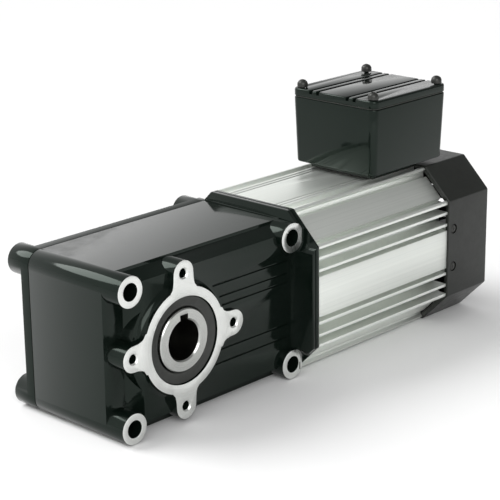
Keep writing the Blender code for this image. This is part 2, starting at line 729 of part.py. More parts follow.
def side_profile(wide_top):
    """Half of one side of the finned body: (distance from the side's middle, depth below the side)."""
    if wide_top:
        return [(24.6, 0), (24.8, 9.8), (28.0, 10.1), (31.3, 5), (31.5, 0)]
    return [
        (13.4, 0), (13.6, 7.4), (16.2, 7.6), (16.4, 0), (18.4, 0), (18.6, 9.7), (24.4, 10.2), (24.6, 0),
        (26.6, 0), (26.8, 13), (28.0, 12.8), (31.3, 5), (31.5, 0),
    ]


def corner_profile():
    """Half of one cut corner: a rib at its end, a groove, and a wide land set back from the ribs."""
    return [(1.7, 0.0), (1.7, 2.5), (5.6, 6.0), (5.6, 2.7)]


def finned_outline():
    """The motor body seen along its axis, anticlockwise from the middle of the side at +Y."""
    reach = MOTOR_HALF_WIDTH
    flat = reach - MOTOR_CHAMFER
    corner_length = MOTOR_CHAMFER * math.sqrt(2)
    outline = []
    for quarter in range(4):
        turn = quarter * math.pi / 2
        half_side = side_profile(wide_top=quarter == 1)
        local = [(reach - depth, -across) for across, depth in reversed(half_side)]
        local += [(reach - depth, across) for across, depth in half_side]
        local.append((reach, flat))
        ends = corner_profile()
        slope = math.sqrt(0.5)
        for along, depth in ends + [(corner_length - along, depth) for along, depth in reversed(ends)]:
            local.append((reach - (along + depth) * slope, flat + (along - depth) * slope))
        local.append((flat, reach))
        cosine, sine = round(math.cos(turn)), round(math.sin(turn))
        outline += [(y * cosine - z * sine, y * sine + z * cosine) for y, z in local]
    # The last point of each quarter is the first corner of the next one.
    return outline


def make_motor_housing():
    body = plate(
        "motor_housing", ALONG_X, MOTOR_AXIS, finned_outline(), MOTOR_START, MOTOR_END, ALUMINIUM
    )
    bore = rod("motor_bore", ALONG_X, MOTOR_AXIS, MOTOR_BORE_RADIUS, 90, MOTOR_END + 10, segments=32)
    cut(body, bore)
    cut(body, rod("wire_way", ALONG_Z, (box_middle_x(), MOTOR_Y), 8.0, 40, 70, segments=16))
    for number, (y, z) in enumerate(end_shield_screw_centres()):
        hole = rod(f"tapped_hole_{number}", ALONG_X, (y, z), 2.0, MOTOR_END - 15, MOTOR_END + 5, segments=8)
        cut(body, hole)
    return body


def end_shield_screw_centres():
    reach = 51.5 * math.sqrt(0.5)
    return [(MOTOR_Y + a * reach, MOTOR_Z + b * reach) for a in (-1, 1) for b in (-1, 1)]


def make_windings():
    for position, start, end in (("front", 110, STATOR_START - GAP), ("rear", STATOR_END + GAP, 220)):
        middle = (start + end) / 2
        profile = [
            (30.0, start + 3), (33.0, start), (40.0, start), (43.5, middle), (40.0, end), (33.0, end),
            (30.0, end - 3),
        ]
        turned(f"winding_{position}", ALONG_X, MOTOR_AXIS, profile, COPPER, steps=20)


def make_rotor():
    rotor_bore = ROTOR_SHAFT_RADIUS + GAP
    ring("rotor_core", ALONG_X, MOTOR_AXIS, rotor_bore, 28.0, STATOR_START, STATOR_END, LAMINATION, 24)
    phase = angle_to(MOTOR_AXIS, LAYSHAFT_AXIS)
    teeth = gear_outline(MOTOR_PINION_TEETH, MOTOR_MODULE, PROFILE_SHIFT, phase)
    shaft = plate("rotor_shaft", ALONG_X, MOTOR_AXIS, teeth, 73.5, 84, STEEL)
    join(shaft, rod("shaft_neck", ALONG_X, MOTOR_AXIS, 6.3, 83, 94, segments=24))
    join(shaft, rod("shaft_body", ALONG_X, MOTOR_AXIS, ROTOR_SHAFT_RADIUS, 92.8, 243, segments=24))
    join(shaft, rod("shaft_tail", ALONG_X, MOTOR_AXIS, 6.0, 242, 265, segments=24))
    return shaft


def make_stator():
    outer = MOTOR_BORE_RADIUS - 0.4
    ring("stator_core", ALONG_X, MOTOR_AXIS, 28.6, outer, STATOR_START, STATOR_END, LAMINATION, 32)


def make_rear_end_shield():
    face = MOTOR_END + GAP
    profile = [
        (8.5, 242.4), (8.5, 245.0), (20.0, 245.0), (24.0, face + 4), (47.5, face + 4), (47.5, face),
        (MOTOR_BORE_RADIUS - GAP, face), (MOTOR_BORE_RADIUS - GAP, 231.0), (42.0, 231.0), (42.0, 236.5),
        (21.0, 236.5), (21.0, 231.0),
        (17.3, 231.0), (17.3, 242.4),
    ]
    shield = turned("rear_end_shield", ALONG_X, MOTOR_AXIS, profile, ALUMINIUM, steps=28)
    for number, centre in enumerate(end_shield_screw_centres()):
        join(shield, rod(f"shield_ear_{number}", ALONG_X, centre, 5.6, face, face + 4, segments=16))
        cut(shield, rod(f"shield_hole_{number}", ALONG_X, centre, 2.1, 230, 250, segments=8))
    reach = COWL_HALF_WIDTH - COWL_WALL - GAP
    for number, (side, z) in enumerate(cowl_screw_places()):
        ends = sorted((MOTOR_Y + side * 44, MOTOR_Y + side * reach))
        lug = box(f"shield_lug_{number}", (face + 0.5, ends[0], z - 4), (face + 11, ends[1], z + 4))
        join(shield, lug)
        ends = sorted((MOTOR_Y + side * 45.5, MOTOR_Y + side * 60))
        cut(shield, rod(f"lug_hole_{number}", ALONG_Y, (cowl_screw_x(), z), 1.8, *ends, segments=8))
    return shield


def make_end_shield_screws():
    seat = MOTOR_END + 2 * GAP + 4
    for number, centre in enumerate(end_shield_screw_centres(), 1):
        make_screw(
            f"end_shield_screw_{number}", ALONG_X, centre, (3.2, seat, seat + 3), (1.6, seat - 16, seat + 1)
        )


def cowl_screw_x():
    return COWL_START + 6.0


def cowl_screw_places():
    """(-1 or 1 for the front or the rear side, height)"""
    return [(side, MOTOR_Z + rise) for side in (-1, 1) for rise in (-13.4, 13.4)]


def make_fan_cover():
    def section(half_width, along):
        return [(y, z, along) for y, z in octagon(half_width, MOTOR_CHAMFER + 0.2)]

    outside = (
        section(COWL_HALF_WIDTH, COWL_START),
        section(COWL_HALF_WIDTH, COWL_END - 2.0),
        section(COWL_HALF_WIDTH - 0.6, COWL_END - 0.6),
        section(COWL_HALF_WIDTH - 2.0, COWL_END),
    )
    cowl = loft("fan_cover", ALONG_X, (0, *MOTOR_AXIS), outside, BLACK_PLASTIC)
    hollow = octagon(COWL_HALF_WIDTH - COWL_WALL, MOTOR_CHAMFER)
    cut(cowl, plate("cowl_hollow", ALONG_X, MOTOR_AXIS, hollow, COWL_START - 5, COWL_END - 3))
    for number in range(-3, 4):
        half = math.sqrt(34.0**2 - (9.0 * number) ** 2)
        z = MOTOR_Z + 9.0 * number
        slot = box(
            f"air_slot_{number + 3}",
            (COWL_END - 8, MOTOR_Y - half, z - 2.0),
            (COWL_END + 5, MOTOR_Y + half, z + 2.0),
        )
        cut(cowl, slot)
    for number, (side, z) in enumerate(cowl_screw_places()):
        centre = (cowl_screw_x(), z)
        face = MOTOR_Y + side * COWL_HALF_WIDTH
        recess = sorted((face - side * 1.5, face + side * 5))
        through = sorted((face - side * 10, face + side * 5))
        cut(cowl, rod(f"screw_recess_{number}", ALONG_Y, centre, 3.3, *recess, segments=16))
        cut(cowl, rod(f"screw_way_{number}", ALONG_Y, centre, 1.9, *through, segments=8))
    return cowl


def make_fan_cover_screws():
    for number, (side, z) in enumerate(cowl_screw_places(), 1):
        face = MOTOR_Y + side * COWL_HALF_WIDTH
        head = sorted((face - side * 1.2, face - side * 0.2))
        shank = sorted((face - side * 8.5, face - side * 0.8))
        centre = (cowl_screw_x(), z)
        make_screw(f"fan_cover_screw_{number}", ALONG_Y, centre, (3.0, *head), (1.5, *shank))


def make_cooling_fan():
    fan = rod("cooling_fan", ALONG_X, MOTOR_AXIS, 11.0, 248.0, 261.5, BLACK_PLASTIC, segments=24)
    join(fan, rod("fan_disc", ALONG_X, MOTOR_AXIS, 43.0, 248.5, 250.5, segments=32))
    blades = 8
    for number in range(blades):
        work = bmesh.new()
        bmesh.ops.create_cube(work, size=1.0)
        bmesh.ops.scale(work, vec=(MM * 33, MM * 1.6, MM * 11), verts=work.verts)
        bmesh.ops.translate(work, vec=(MM * 25.5, 0, 0), verts=work.verts)
        blade = add_object(f"fan_blade_{number}", mesh_from("fan_blade", work), (255, *MOTOR_AXIS))
        blade.rotation_mode = "QUATERNION"
        blade.rotation_quaternion = turned_along_x(2 * math.pi * number / blades)
        join(fan, blade)
    cut(fan, rod("fan_bore", ALONG_X, MOTOR_AXIS, 6.0 + GAP, 240, 270, segments=24))
    ring("fan_retaining_ring", ALONG_X, MOTOR_AXIS, 6.0 + GAP, 9.0, 261.8, 262.8, DARK_STEEL, 16)
    return fan


def turned_along_x(angle):
    return Quaternion((1, 0, 0), angle) @ Euler(ALONG_X).to_quaternion()


# ---------------------------------------------------------------- terminal box


def box_middle_x():
    return (BOX_LEFT + BOX_RIGHT) / 2


def box_outline(inset, radius):
    return rounded_rectangle(
        (BOX_LEFT + inset, BOX_FRONT + inset), (BOX_RIGHT - inset, BOX_REAR - inset), (radius,) * 4
    )


def lid_screw_centres():
    inset = 5.2
    return [
        (x, y)
        for x in (BOX_LEFT + inset, BOX_RIGHT - inset)
        for y in (BOX_FRONT + inset, BOX_REAR - inset)
    ]


def make_terminal_box():
    top = BOX_HIGH - LID_THICKNESS - 2 * GAP - GASKET
    body = plate(
        "terminal_box", ALONG_Z, (0, 0), box_outline(0, BOX_CORNER_RADIUS), BOX_LOW, top, BLACK_PAINT
    )
    neck_low = MOTOR_Z + MOTOR_HALF_WIDTH + 2 * GAP + GASKET
    neck = ((BOX_LEFT + 9, BOX_FRONT + 8), (BOX_RIGHT - 21, BOX_REAR - 8))
    join(body, box("box_neck", (*neck[0], neck_low), (*neck[1], BOX_LOW + 1)))
    hollow = plate("box_hollow", ALONG_Z, (0, 0), box_outline(3, 2), BOX_LOW + 3, top + 5)
    for number, centre in enumerate(lid_screw_centres()):
        cut(hollow, rod(f"lid_boss_{number}", ALONG_Z, centre, 4.6, BOX_LOW, top + 6, segments=12))
    cut(body, hollow)
    for number, centre in enumerate(lid_screw_centres()):
        cut(body, rod(f"lid_tapped_hole_{number}", ALONG_Z, centre, 1.9, top - 16, top + 5, segments=8))
    cut(body, rod("box_wire_way", ALONG_Z, (box_middle_x(), MOTOR_Y), 8.0, 50, 70, segments=16))
    cut(body, rod("cable_entry", ALONG_Y, conduit_centre(), 10.4, BOX_REAR - 8, BOX_REAR + 5, segments=24))
    return body


def conduit_centre():
    return (box_middle_x(), (BOX_LOW + BOX_HIGH) / 2)


def make_conduit_plug():
    centre = conduit_centre()
    plug = rod("conduit_plug", ALONG_Y, centre, 10.0, BOX_REAR - 4, BOX_REAR + 2, BLACK_PLASTIC, segments=24)
    join(plug, rod("plug_head", ALONG_Y, centre, 13.0, BOX_REAR + GAP, BOX_REAR + 5, segments=24))
    bar = (centre[0] - 7, BOX_REAR + 3.5, centre[1] - 1.2)
    cut(plug, box("plug_slot", bar, (bar[0] + 14, BOX_REAR + 8, bar[2] + 2.4)))
    return plug


def make_lid():
    low = BOX_HIGH - LID_THICKNESS
    lid = plate(
        "terminal_box_lid", ALONG_Z, (0, 0), box_outline(0, BOX_CORNER_RADIUS), low, BOX_HIGH, BLACK_PAINT
    )
    middle = (BOX_FRONT + BOX_REAR) / 2
    for number, offset in enumerate(LID_GROOVES):
        y = middle + offset
        low_corner = (BOX_LEFT - 5, y - 1.3, BOX_HIGH - 2.4)
        high_corner = (BOX_RIGHT + 5, y + 1.3, BOX_HIGH + 3)
        cut(lid, box(f"lid_groove_{number}", low_corner, high_corner))
    for number, centre in enumerate(lid_screw_centres()):
        cut(lid, rod(f"lid_hole_{number}", ALONG_Z, centre, 2.1, low - 5, BOX_HIGH + 5, segments=8))
    gasket_low = low - GAP - GASKET
    seal = plate(
        "lid_gasket",
        ALONG_Z,
        (0, 0),
        box_outline(0.5, BOX_CORNER_RADIUS),
        gasket_low,
        gasket_low + GASKET,
        RUBBER,
    )
    cut(seal, plate("lid_gasket_window", ALONG_Z, (0, 0), box_outline(3, 2), 90, 120))
    return lid


def make_lid_screws():
    seat = BOX_HIGH + GAP
    for number, centre in enumerate(lid_screw_centres(), 1):
        make_screw(
            f"lid_screw_{number}", ALONG_Z, centre, (3.6, seat, seat + 5.0), (1.6, seat - 16, seat + 1)
        )


def make_box_gasket():
    low = MOTOR_Z + MOTOR_HALF_WIDTH + GAP
    gasket = box(
        "box_gasket",
        (BOX_LEFT + 10, BOX_FRONT + 9, low),
        (BOX_RIGHT - 22, BOX_REAR - 9, low + GASKET),
        RUBBER,
    )
    cut(gasket, rod("gasket_wire_way", ALONG_Z, (box_middle_x(), MOTOR_Y), 8.4, 50, 70, segments=16))


def make_terminal_block():
    floor = BOX_LOW + 3 + GAP
    start = BOX_LEFT + 12
    block = box("terminal_block", (start, MOTOR_Y - 9, floor), (start + 16, MOTOR_Y + 9, floor + 6), TERMINAL)
    for number in range(4):
        y = MOTOR_Y - 9 + 5.5 * number
        join(block, box(f"terminal_rib_{number}", (start, y, floor + 1), (start + 16, y + 1.5, floor + 11)))
    return block


def main():
    make_gear_housing()
    make_housing_cover()
    make_cover_gasket()
    make_cover_screws()
    make_output_shaft()
    make_output_bearing("front", 10.3)
    make_output_bearing("rear", 73.6)
    make_oil_seal("front", 1.0, 8.8)
    make_oil_seal("rear", BOSS_LENGTH - 2.0, 87.0)
    make_bevel_wheel()
    make_bevel_pinion_shaft()
    make_pinion_gear()
    make_layshaft()
    make_layshaft_gear()
    make_small_bearings()
    make_bearing_carrier()
    make_motor_housing()
    make_stator()
    make_windings()
    make_rotor()
    make_rear_end_shield()
    make_end_shield_screws()
    make_cooling_fan()
    make_fan_cover()
    make_fan_cover_screws()
    make_terminal_box()
    make_lid()
    make_lid_screws()
    make_box_gasket()
    make_terminal_block()
    make_conduit_plug()


main()
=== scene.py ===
"""How the right-angle gearmotor looks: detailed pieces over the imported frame, materials, light and camera.

Sizes are in millimetres from the output shaft's axis (x = 0, z = 0) and the output flange's face (y = 0).
"""

import json
import math

import bmesh
import bpy
from mathutils import Matrix, Vector


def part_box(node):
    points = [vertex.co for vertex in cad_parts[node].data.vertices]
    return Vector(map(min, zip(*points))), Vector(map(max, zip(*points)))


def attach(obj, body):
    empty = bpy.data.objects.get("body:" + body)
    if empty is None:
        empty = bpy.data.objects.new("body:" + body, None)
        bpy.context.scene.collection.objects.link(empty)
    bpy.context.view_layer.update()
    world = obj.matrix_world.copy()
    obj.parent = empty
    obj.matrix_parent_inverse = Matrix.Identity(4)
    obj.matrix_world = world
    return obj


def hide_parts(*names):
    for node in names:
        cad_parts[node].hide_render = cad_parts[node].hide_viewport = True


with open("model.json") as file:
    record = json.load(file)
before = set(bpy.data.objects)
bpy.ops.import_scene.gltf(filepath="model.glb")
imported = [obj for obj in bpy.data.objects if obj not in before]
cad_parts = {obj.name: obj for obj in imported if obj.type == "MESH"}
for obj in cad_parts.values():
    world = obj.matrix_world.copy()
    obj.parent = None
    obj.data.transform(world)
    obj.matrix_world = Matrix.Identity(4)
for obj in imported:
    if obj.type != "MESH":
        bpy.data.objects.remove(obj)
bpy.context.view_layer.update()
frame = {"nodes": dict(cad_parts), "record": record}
SCENE = bpy.context.scene
JOINTS = {joint["name"]: joint for joint in frame["record"]["behaviour"]["joints"]}
BODY = "gearmotor_body"
SHAFT_BODY = "output_shaft_body"

# The outermost faces stay this far inside the frame's box
TRIM = 0.01

# The motor's octagon, and how far it stands in front of the output flange's face
MOTOR_HALF, MOTOR_CHAMFER = 54.0, 20.75
MOTOR_PROUD = 13.5

SHAFT_LINE = JOINTS["output_shaft_spin"]["pos_m"]
ORIGIN = Vector((SHAFT_LINE[0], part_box("gear_housing")[0].y + 0.001 * MOTOR_PROUD, SHAFT_LINE[2]))


def axis_centre(joint):
    """The (y, z) place of a joint's axis that runs along X."""
    place = JOINTS[joint]["pos_m"]
    return ((place[1] - ORIGIN.y) * 1000, (place[2] - ORIGIN.z) * 1000)


MOTOR = axis_centre("rotor_spin")
LAYSHAFT = axis_centre("layshaft_spin")


# ---------------------------------------------------------------- outlines


def turn(points, quarters):
    """The points after some quarter turns about (0, 0)."""
    cosine = round(math.cos(quarters * math.pi / 2))
    sine = round(math.sin(quarters * math.pi / 2))
    return [(u * cosine - v * sine, u * sine + v * cosine) for u, v in points]


def corners(low, high):
    """The four corners of a rectangle."""
    return [(low[0], low[1]), (high[0], low[1]), (high[0], high[1]), (low[0], high[1])]


def arc(centre, radius, start, end, steps):
    angles = [math.radians(start + (end - start) * i / steps) for i in range(steps + 1)]
    return [(centre[0] + radius * math.cos(a), centre[1] + radius * math.sin(a)) for a in angles]


def rounded_box(low, high, radius):
    steps = 8
    outline = arc((high[0] - radius, high[1] - radius), radius, 0, 90, steps)
    outline += arc((low[0] + radius, high[1] - radius), radius, 90, 180, steps)
    outline += arc((low[0] + radius, low[1] + radius), radius, 180, 270, steps)
    outline += arc((high[0] - radius, low[1] + radius), radius, 270, 360, steps)
    return outline


def octagon(half, chamfer, corner=0.0):
    """A square with its corners cut at 45 degrees; corner sets how far its eight corners are rounded."""
    near = half - chamfer
    points = [point for quarters in range(4) for point in turn([(half, -near), (half, near)], quarters)]
    if corner == 0:
        return points
    outline = []
    length = corner * math.tan(math.radians(22.5))
    steps = 3
    for i, point in enumerate(points):
        here = Vector(point)
        start = here + (Vector(points[i - 1]) - here).normalized() * length
        end = here + (Vector(points[(i + 1) % 8]) - here).normalized() * length
        for k in range(steps + 1):
            t = k / steps
            bent = start * (1 - t) ** 2 + here * 2 * t * (1 - t) + end * t * t
            outline.append((bent.x, bent.y))
    return outline


# ---------------------------------------------------------------- solids


def at(axis, centre, u, v, along):
    """A point in metres: u and v are across the axis from its centre."""
    if axis == "x":
        point = (along, centre[0] + u, centre[1] + v)
    elif axis == "y":
        point = (centre[0] + u, along, centre[1] + v)
    else:
        point = (centre[0] + u, centre[1] + v, along)
    return ORIGIN + Vector(point) * 0.001


def solid(name, build):
    """A mesh object made by build(work), with its faces turned outwards."""
    work = bmesh.new()
    build(work)
    bmesh.ops.recalc_face_normals(work, faces=work.faces)
    mesh = bpy.data.meshes.new(name)
    work.to_mesh(mesh)
    work.free()
    obj = bpy.data.objects.new(name, mesh)
    SCENE.collection.objects.link(obj)
    return obj


def turned(name, axis, centre, profile, steps=64, closed=False):
    """A solid of (radius, place along the axis) points; a closed profile joins its two ends."""

    def build(work):
        rings = []
        for radius, along in profile:
            if radius == 0:
                rings.append([work.verts.new(at(axis, centre, 0, 0, along))])
                continue
            ring = []
            for i in range(steps):
                angle = 2 * math.pi * i / steps
                u, v = radius * math.cos(angle), radius * math.sin(angle)
                ring.append(work.verts.new(at(axis, centre, u, v, along)))
            rings.append(ring)
        pairs = list(zip(rings, rings[1:]))
        if closed:
            pairs.append((rings[-1], rings[0]))
        for low, high in pairs:
            for i in range(steps):
                j = (i + 1) % steps
                if len(low) == 1:
                    work.faces.new((low[0], high[j], high[i]))
                elif len(high) == 1:
                    work.faces.new((low[i], low[j], high[0]))
                else:
                    work.faces.new((low[i], low[j], high[j], high[i]))

    return solid(name, build)


def lofted(name, axis, centre, sections):
    """A solid through sections that are (outline, place along the axis), all with as many points."""

    def build(work):
        rings = []
        for outline, along in sections:
            rings.append([work.verts.new(at(axis, centre, u, v, along)) for u, v in outline])
        work.faces.new(rings[0])
        work.faces.new(rings[-1])
        for low, high in zip(rings, rings[1:]):
            for i in range(len(low)):
                j = (i + 1) % len(low)
                work.faces.new((low[i], low[j], high[j], high[i]))

    return solid(name, build)


def bar(name, axis, centre, outline, start, end):
    return lofted(name, axis, centre, [(outline, start), (outline, end)])


def round_bar(name, axis, centre, radius, start, end, steps=64):
    return turned(name, axis, centre, [(0, start), (radius, start), (radius, end), (0, end)], steps)


def block(name, low, high):
    return bar(name, "z", (0, 0), corners(low, high), low[2], high[2])


def octagon_bar(name, half, chamfer, start, end, corner=0.0):
    """An octagonal bar along the motor's axis."""
    return bar(name, "x", MOTOR, octagon(half, chamfer, corner), start, end)


# ---------------------------------------------------------------- edits


def bake(obj):
    """Applies the object's modifiers to its mesh."""
    graph = bpy.context.evaluated_depsgraph_get()
    mesh = bpy.data.meshes.new_from_object(obj.evaluated_get(graph))
    obj.modifiers.clear()
    old = obj.data
    obj.data = mesh
    bpy.data.meshes.remove(old)


def combine(obj, operation, others):
    for other in others:
        modifier = obj.modifiers.new("combine", "BOOLEAN")
        modifier.object = other
        modifier.operation = operation
        modifier.solver = "MANIFOLD"
    bake(obj)
    for other in others:
        bpy.data.objects.remove(other, do_unlink=True)
    return obj


def cut(obj, *others):
    return combine(obj, "DIFFERENCE", others)


def join(obj, *others):
    return combine(obj, "UNION", others)


def soften(obj, width, angle=32):
    """Small rounded edges where faces meet at more than the angle."""
    modifier = obj.modifiers.new("edges", "BEVEL")
    modifier.width = width * 0.001
    modifier.segments = 2
    modifier.limit_method = "ANGLE"
    modifier.angle_limit = math.radians(angle)
    modifier.use_clamp_overlap = True
    modifier.harden_normals = False
    bake(obj)


def piece(obj, name, node, materials, body=BODY, angle=35):
    """Finishes a made piece: name, materials, smooth shading, its body, and the node that it replaces."""
    obj.name = name
    obj.data.materials.clear()
    for material in materials:
        obj.data.materials.append(material)
    obj.data.shade_smooth()
    obj.data.set_sharp_from_angle(angle=math.radians(angle))
    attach(obj, body)
    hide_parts(node)


def paint_where(obj, test):
    """Gives the second material to the faces that test(middle in millimetres, normal) accepts."""
    for face in obj.data.polygons:
        middle = (face.center - ORIGIN) * 1000
        if test(middle, face.normal):
            face.material_index = 1


# ---------------------------------------------------------------- materials


class Nodes:
    """A material's node tree, with short calls for what repeats."""

    def __init__(self, name, colour, roughness, metallic=0.0, ior=1.5):
        self.material = bpy.data.materials.new(name)
        self.material.use_nodes = True
        self.tree = self.material.node_tree
        self.shader = self.tree.nodes["Principled BSDF"]
        self.shader.inputs["Base Color"].default_value = (*colour, 1)
        self.shader.inputs["Roughness"].default_value = roughness
        self.shader.inputs["Metallic"].default_value = metallic
        self.shader.inputs["IOR"].default_value = ior
        self.height = None
        self.place = self.tree.nodes.new("ShaderNodeTexCoord").outputs["Object"]

    def link(self, output, target):
        self.tree.links.new(output, target)

    def stretched(self, vector, scale):
        node = self.tree.nodes.new("ShaderNodeMapping")
        self.link(vector, node.inputs["Vector"])
        node.inputs["Scale"].default_value = scale
        return node.outputs["Vector"]

    def around(self, axis, centre):
        """(radius, place along the axis) as a vector, for marks that run round an axis."""
        shift = self.tree.nodes.new("ShaderNodeVectorMath")
        shift.operation = "SUBTRACT"
        self.link(self.place, shift.inputs[0])
        shift.inputs[1].default_value = at(axis, centre, 0, 0, 0)
        split = self.tree.nodes.new("ShaderNodeSeparateXYZ")
        self.link(shift.outputs[0], split.inputs[0])
        across = [name for name in "XYZ" if name.lower() != axis]
        flat = self.tree.nodes.new("ShaderNodeCombineXYZ")
        self.link(split.outputs[across[0]], flat.inputs[0])
        self.link(split.outputs[across[1]], flat.inputs[1])
        length = self.tree.nodes.new("ShaderNodeVectorMath")
        length.operation = "LENGTH"
        self.link(flat.outputs[0], length.inputs[0])
        out = self.tree.nodes.new("ShaderNodeCombineXYZ")
        self.link(length.outputs["Value"], out.inputs[0])
        self.link(split.outputs[axis.upper()], out.inputs[1])
        return out.outputs[0]

    def noise(self, vector, scale, detail=3.0, roughness=0.5):
        node = self.tree.nodes.new("ShaderNodeTexNoise")
        self.link(vector, node.inputs["Vector"])
        node.inputs["Scale"].default_value = scale
        node.inputs["Detail"].default_value = detail
        node.inputs["Roughness"].default_value = roughness
        return node.outputs["Fac"]

    def bump(self, value, strength, distance):
        node = self.tree.nodes.new("ShaderNodeBump")
        self.link(value, node.inputs["Height"])
        node.inputs["Strength"].default_value = strength
        node.inputs["Distance"].default_value = distance
        if self.height:
            self.link(self.height, node.inputs["Normal"])
        self.height = node.outputs["Normal"]
        self.link(self.height, self.shader.inputs["Normal"])

    def roughness(self, value, low, high):
        """Roughness from low to high over the middle of a noise's values."""
        node = self.tree.nodes.new("ShaderNodeMapRange")
        self.link(value, node.inputs["Value"])
        node.inputs["From Min"].default_value = 0.3
        node.inputs["From Max"].default_value = 0.7
        node.inputs["To Min"].default_value = low
        node.inputs["To Max"].default_value = high
        self.link(node.outputs["Result"], self.shader.inputs["Roughness"])

    def colour(self, value, low, high, start=0.3):
        """A blend from one colour to the other, over the middle of a noise's values."""
        node = self.tree.nodes.new("ShaderNodeValToRGB")
        self.link(value, node.inputs["Fac"])
        for element, where, colour in zip(node.color_ramp.elements, (start, 1 - start), (low, high)):
            element.position = where
            element.color = (*colour, 1)
        self.link(node.outputs["Color"], self.shader.inputs["Base Color"])


def scaled(colour, amount):
    return tuple(min(1.0, amount * value) for value in colour)


def black_paint():
    nodes = Nodes("black_gloss_paint", (0.003, 0.0055, 0.0042), 0.09, ior=1.33)
    nodes.colour(nodes.noise(nodes.place, 35), (0.0025, 0.005, 0.0036), (0.004, 0.0068, 0.0052))
    nodes.shader.inputs["Specular Tint"].default_value = (0.84, 1.0, 0.90, 1)
    nodes.roughness(nodes.noise(nodes.place, 120), 0.07, 0.12)
    nodes.bump(nodes.noise(nodes.place, 260, detail=2.0), 0.12, 0.00006)
    nodes.bump(nodes.noise(nodes.place, 2200, detail=2.0), 0.05, 0.00002)
    return nodes.material


def black_casting():
    """The satin black of the fan cowl."""
    nodes = Nodes("black_satin_cowl", (0.011, 0.0125, 0.0105), 0.34, ior=1.4)
    nodes.colour(nodes.noise(nodes.place, 60), (0.009, 0.0105, 0.0085), (0.013, 0.015, 0.0125))
    nodes.roughness(nodes.noise(nodes.place, 300), 0.32, 0.42)
    nodes.bump(nodes.noise(nodes.place, 1400, detail=4.0), 0.25, 0.00005)
    return nodes.material


def extruded_aluminium():
    """Bright metal with fine streaks along X."""
    nodes = Nodes("extruded_aluminium", (0.78, 0.80, 0.77), 0.5, metallic=0.85)
    along = nodes.stretched(nodes.place, (3.0, 900.0, 900.0))
    streaks = nodes.noise(along, 1.0, detail=4.0, roughness=0.6)
    nodes.colour(streaks, (0.74, 0.77, 0.73), (0.84, 0.865, 0.825), start=0.25)
    nodes.roughness(streaks, 0.34, 0.46)
    nodes.bump(streaks, 0.5, 0.00012)
    return nodes.material


def machined(name, axis, centre, colour, low, high, pitch):
    """Bright metal with fine turning marks round an axis."""
    nodes = Nodes(name, colour, 0.3, metallic=1.0)
    rings = nodes.stretched(nodes.around(axis, centre), (pitch, pitch, 1))
    marks = nodes.noise(rings, 1.0, detail=2.0)
    nodes.colour(nodes.noise(nodes.place, 90), scaled(colour, 0.9), colour)
    nodes.roughness(marks, low, high)
    nodes.bump(marks, 0.3, 0.00002)
    return nodes.material


def plain(name, colour, roughness, metallic=0.0, grain=400.0, strength=0.15):
    """A finish with a little cloud in its colour and a fine grain."""
    nodes = Nodes(name, colour, roughness, metallic)
    nodes.colour(nodes.noise(nodes.place, 0.2 * grain), scaled(colour, 0.82), scaled(colour, 1.12))
    nodes.roughness(nodes.noise(nodes.place, 0.5 * grain), 0.88 * roughness, min(1.0, 1.12 * roughness))
    nodes.bump(nodes.noise(nodes.place, 3 * grain), strength, 0.00003)
    return nodes.material


def laminated(name, colour):
    """Stacked sheet: fine rings across the motor's axis."""
    nodes = Nodes(name, colour, 0.45, metallic=1.0)
    sheets = nodes.noise(nodes.stretched(nodes.place, (2000.0, 2.0, 2.0)), 1.0, detail=1.0)
    nodes.colour(sheets, scaled(colour, 0.6), colour, start=0.35)
    nodes.bump(sheets, 0.5, 0.0001)
    nodes.roughness(sheets, 0.4, 0.6)
    return nodes.material


PAINT = black_paint()
COWL = black_casting()
EXTRUSION = extruded_aluminium()
FLANGE_METAL = machined("machined_flange_face", "y", (0, 0), (0.80, 0.815, 0.79), 0.24, 0.36, 2600.0)
SHAFT_METAL = machined("ground_shaft_steel", "y", (0, 0), (0.50, 0.51, 0.49), 0.18, 0.3, 4000.0)
ROTOR_METAL = machined("ground_rotor_steel", "x", MOTOR, (0.62, 0.62, 0.61), 0.2, 0.34, 3000.0)
SHIELD_METAL = machined("turned_end_shield", "x", MOTOR, (0.70, 0.715, 0.70), 0.3, 0.45, 1500.0)
RUBBER = plain("oil_seal_rubber", (0.026, 0.028, 0.025), 0.5, grain=700, strength=0.2)
DARK_STEEL = plain("blackened_steel", (0.035, 0.036, 0.033), 0.36, 0.5, grain=900)
# The bore's inside gets a much darker steel than the shaft: painted shade for the deep bore
BORE_PAINTED_SHADE = plain("bore_steel_painted_shade", (0.10, 0.10, 0.085), 0.34, 1.0, grain=500)
GEAR_STEEL = plain("gear_steel", (0.50, 0.50, 0.49), 0.3, 1.0, grain=600)
BRONZE = plain("bevel_wheel_bronze", (0.52, 0.36, 0.17), 0.32, 1.0, grain=500)
GASKET = plain("pressed_gasket", (0.035, 0.036, 0.032), 0.85, grain=1200, strength=0.5)
COPPER = plain("varnished_copper_wire", (0.45, 0.16, 0.06), 0.35, 0.8, grain=2500, strength=0.8)
MOULDED = plain("moulded_terminal_block", (0.62, 0.60, 0.52), 0.45, grain=700)
PLUG = plain("moulded_black_plug", (0.022, 0.023, 0.021), 0.42, grain=800, strength=0.25)
SHEETS = laminated("stacked_core_sheet", (0.30, 0.31, 0.32))
INSIDE = plain("cast_inside", (0.30, 0.31, 0.30), 0.55, 0.9, grain=500, strength=0.4)


# ---------------------------------------------------------------- gear case

CASE_LEFT, CASE_RIGHT, CASE_LOW, CASE_HIGH = -51.9, 97.0, -52.5, 50.5
CASE_FRONT, SEAM_FRONT, SEAM_REAR, COVER_REAR = 14.0, 77.75, 78.45, 85.3
PANEL_FRONT, PANEL_REAR = 5.0, 16.0
WALL = 5.0
FLANGE_START, FLANGE_END = 98.6, 104.6
LINE_START, LINE_END = 101.2, 102.0

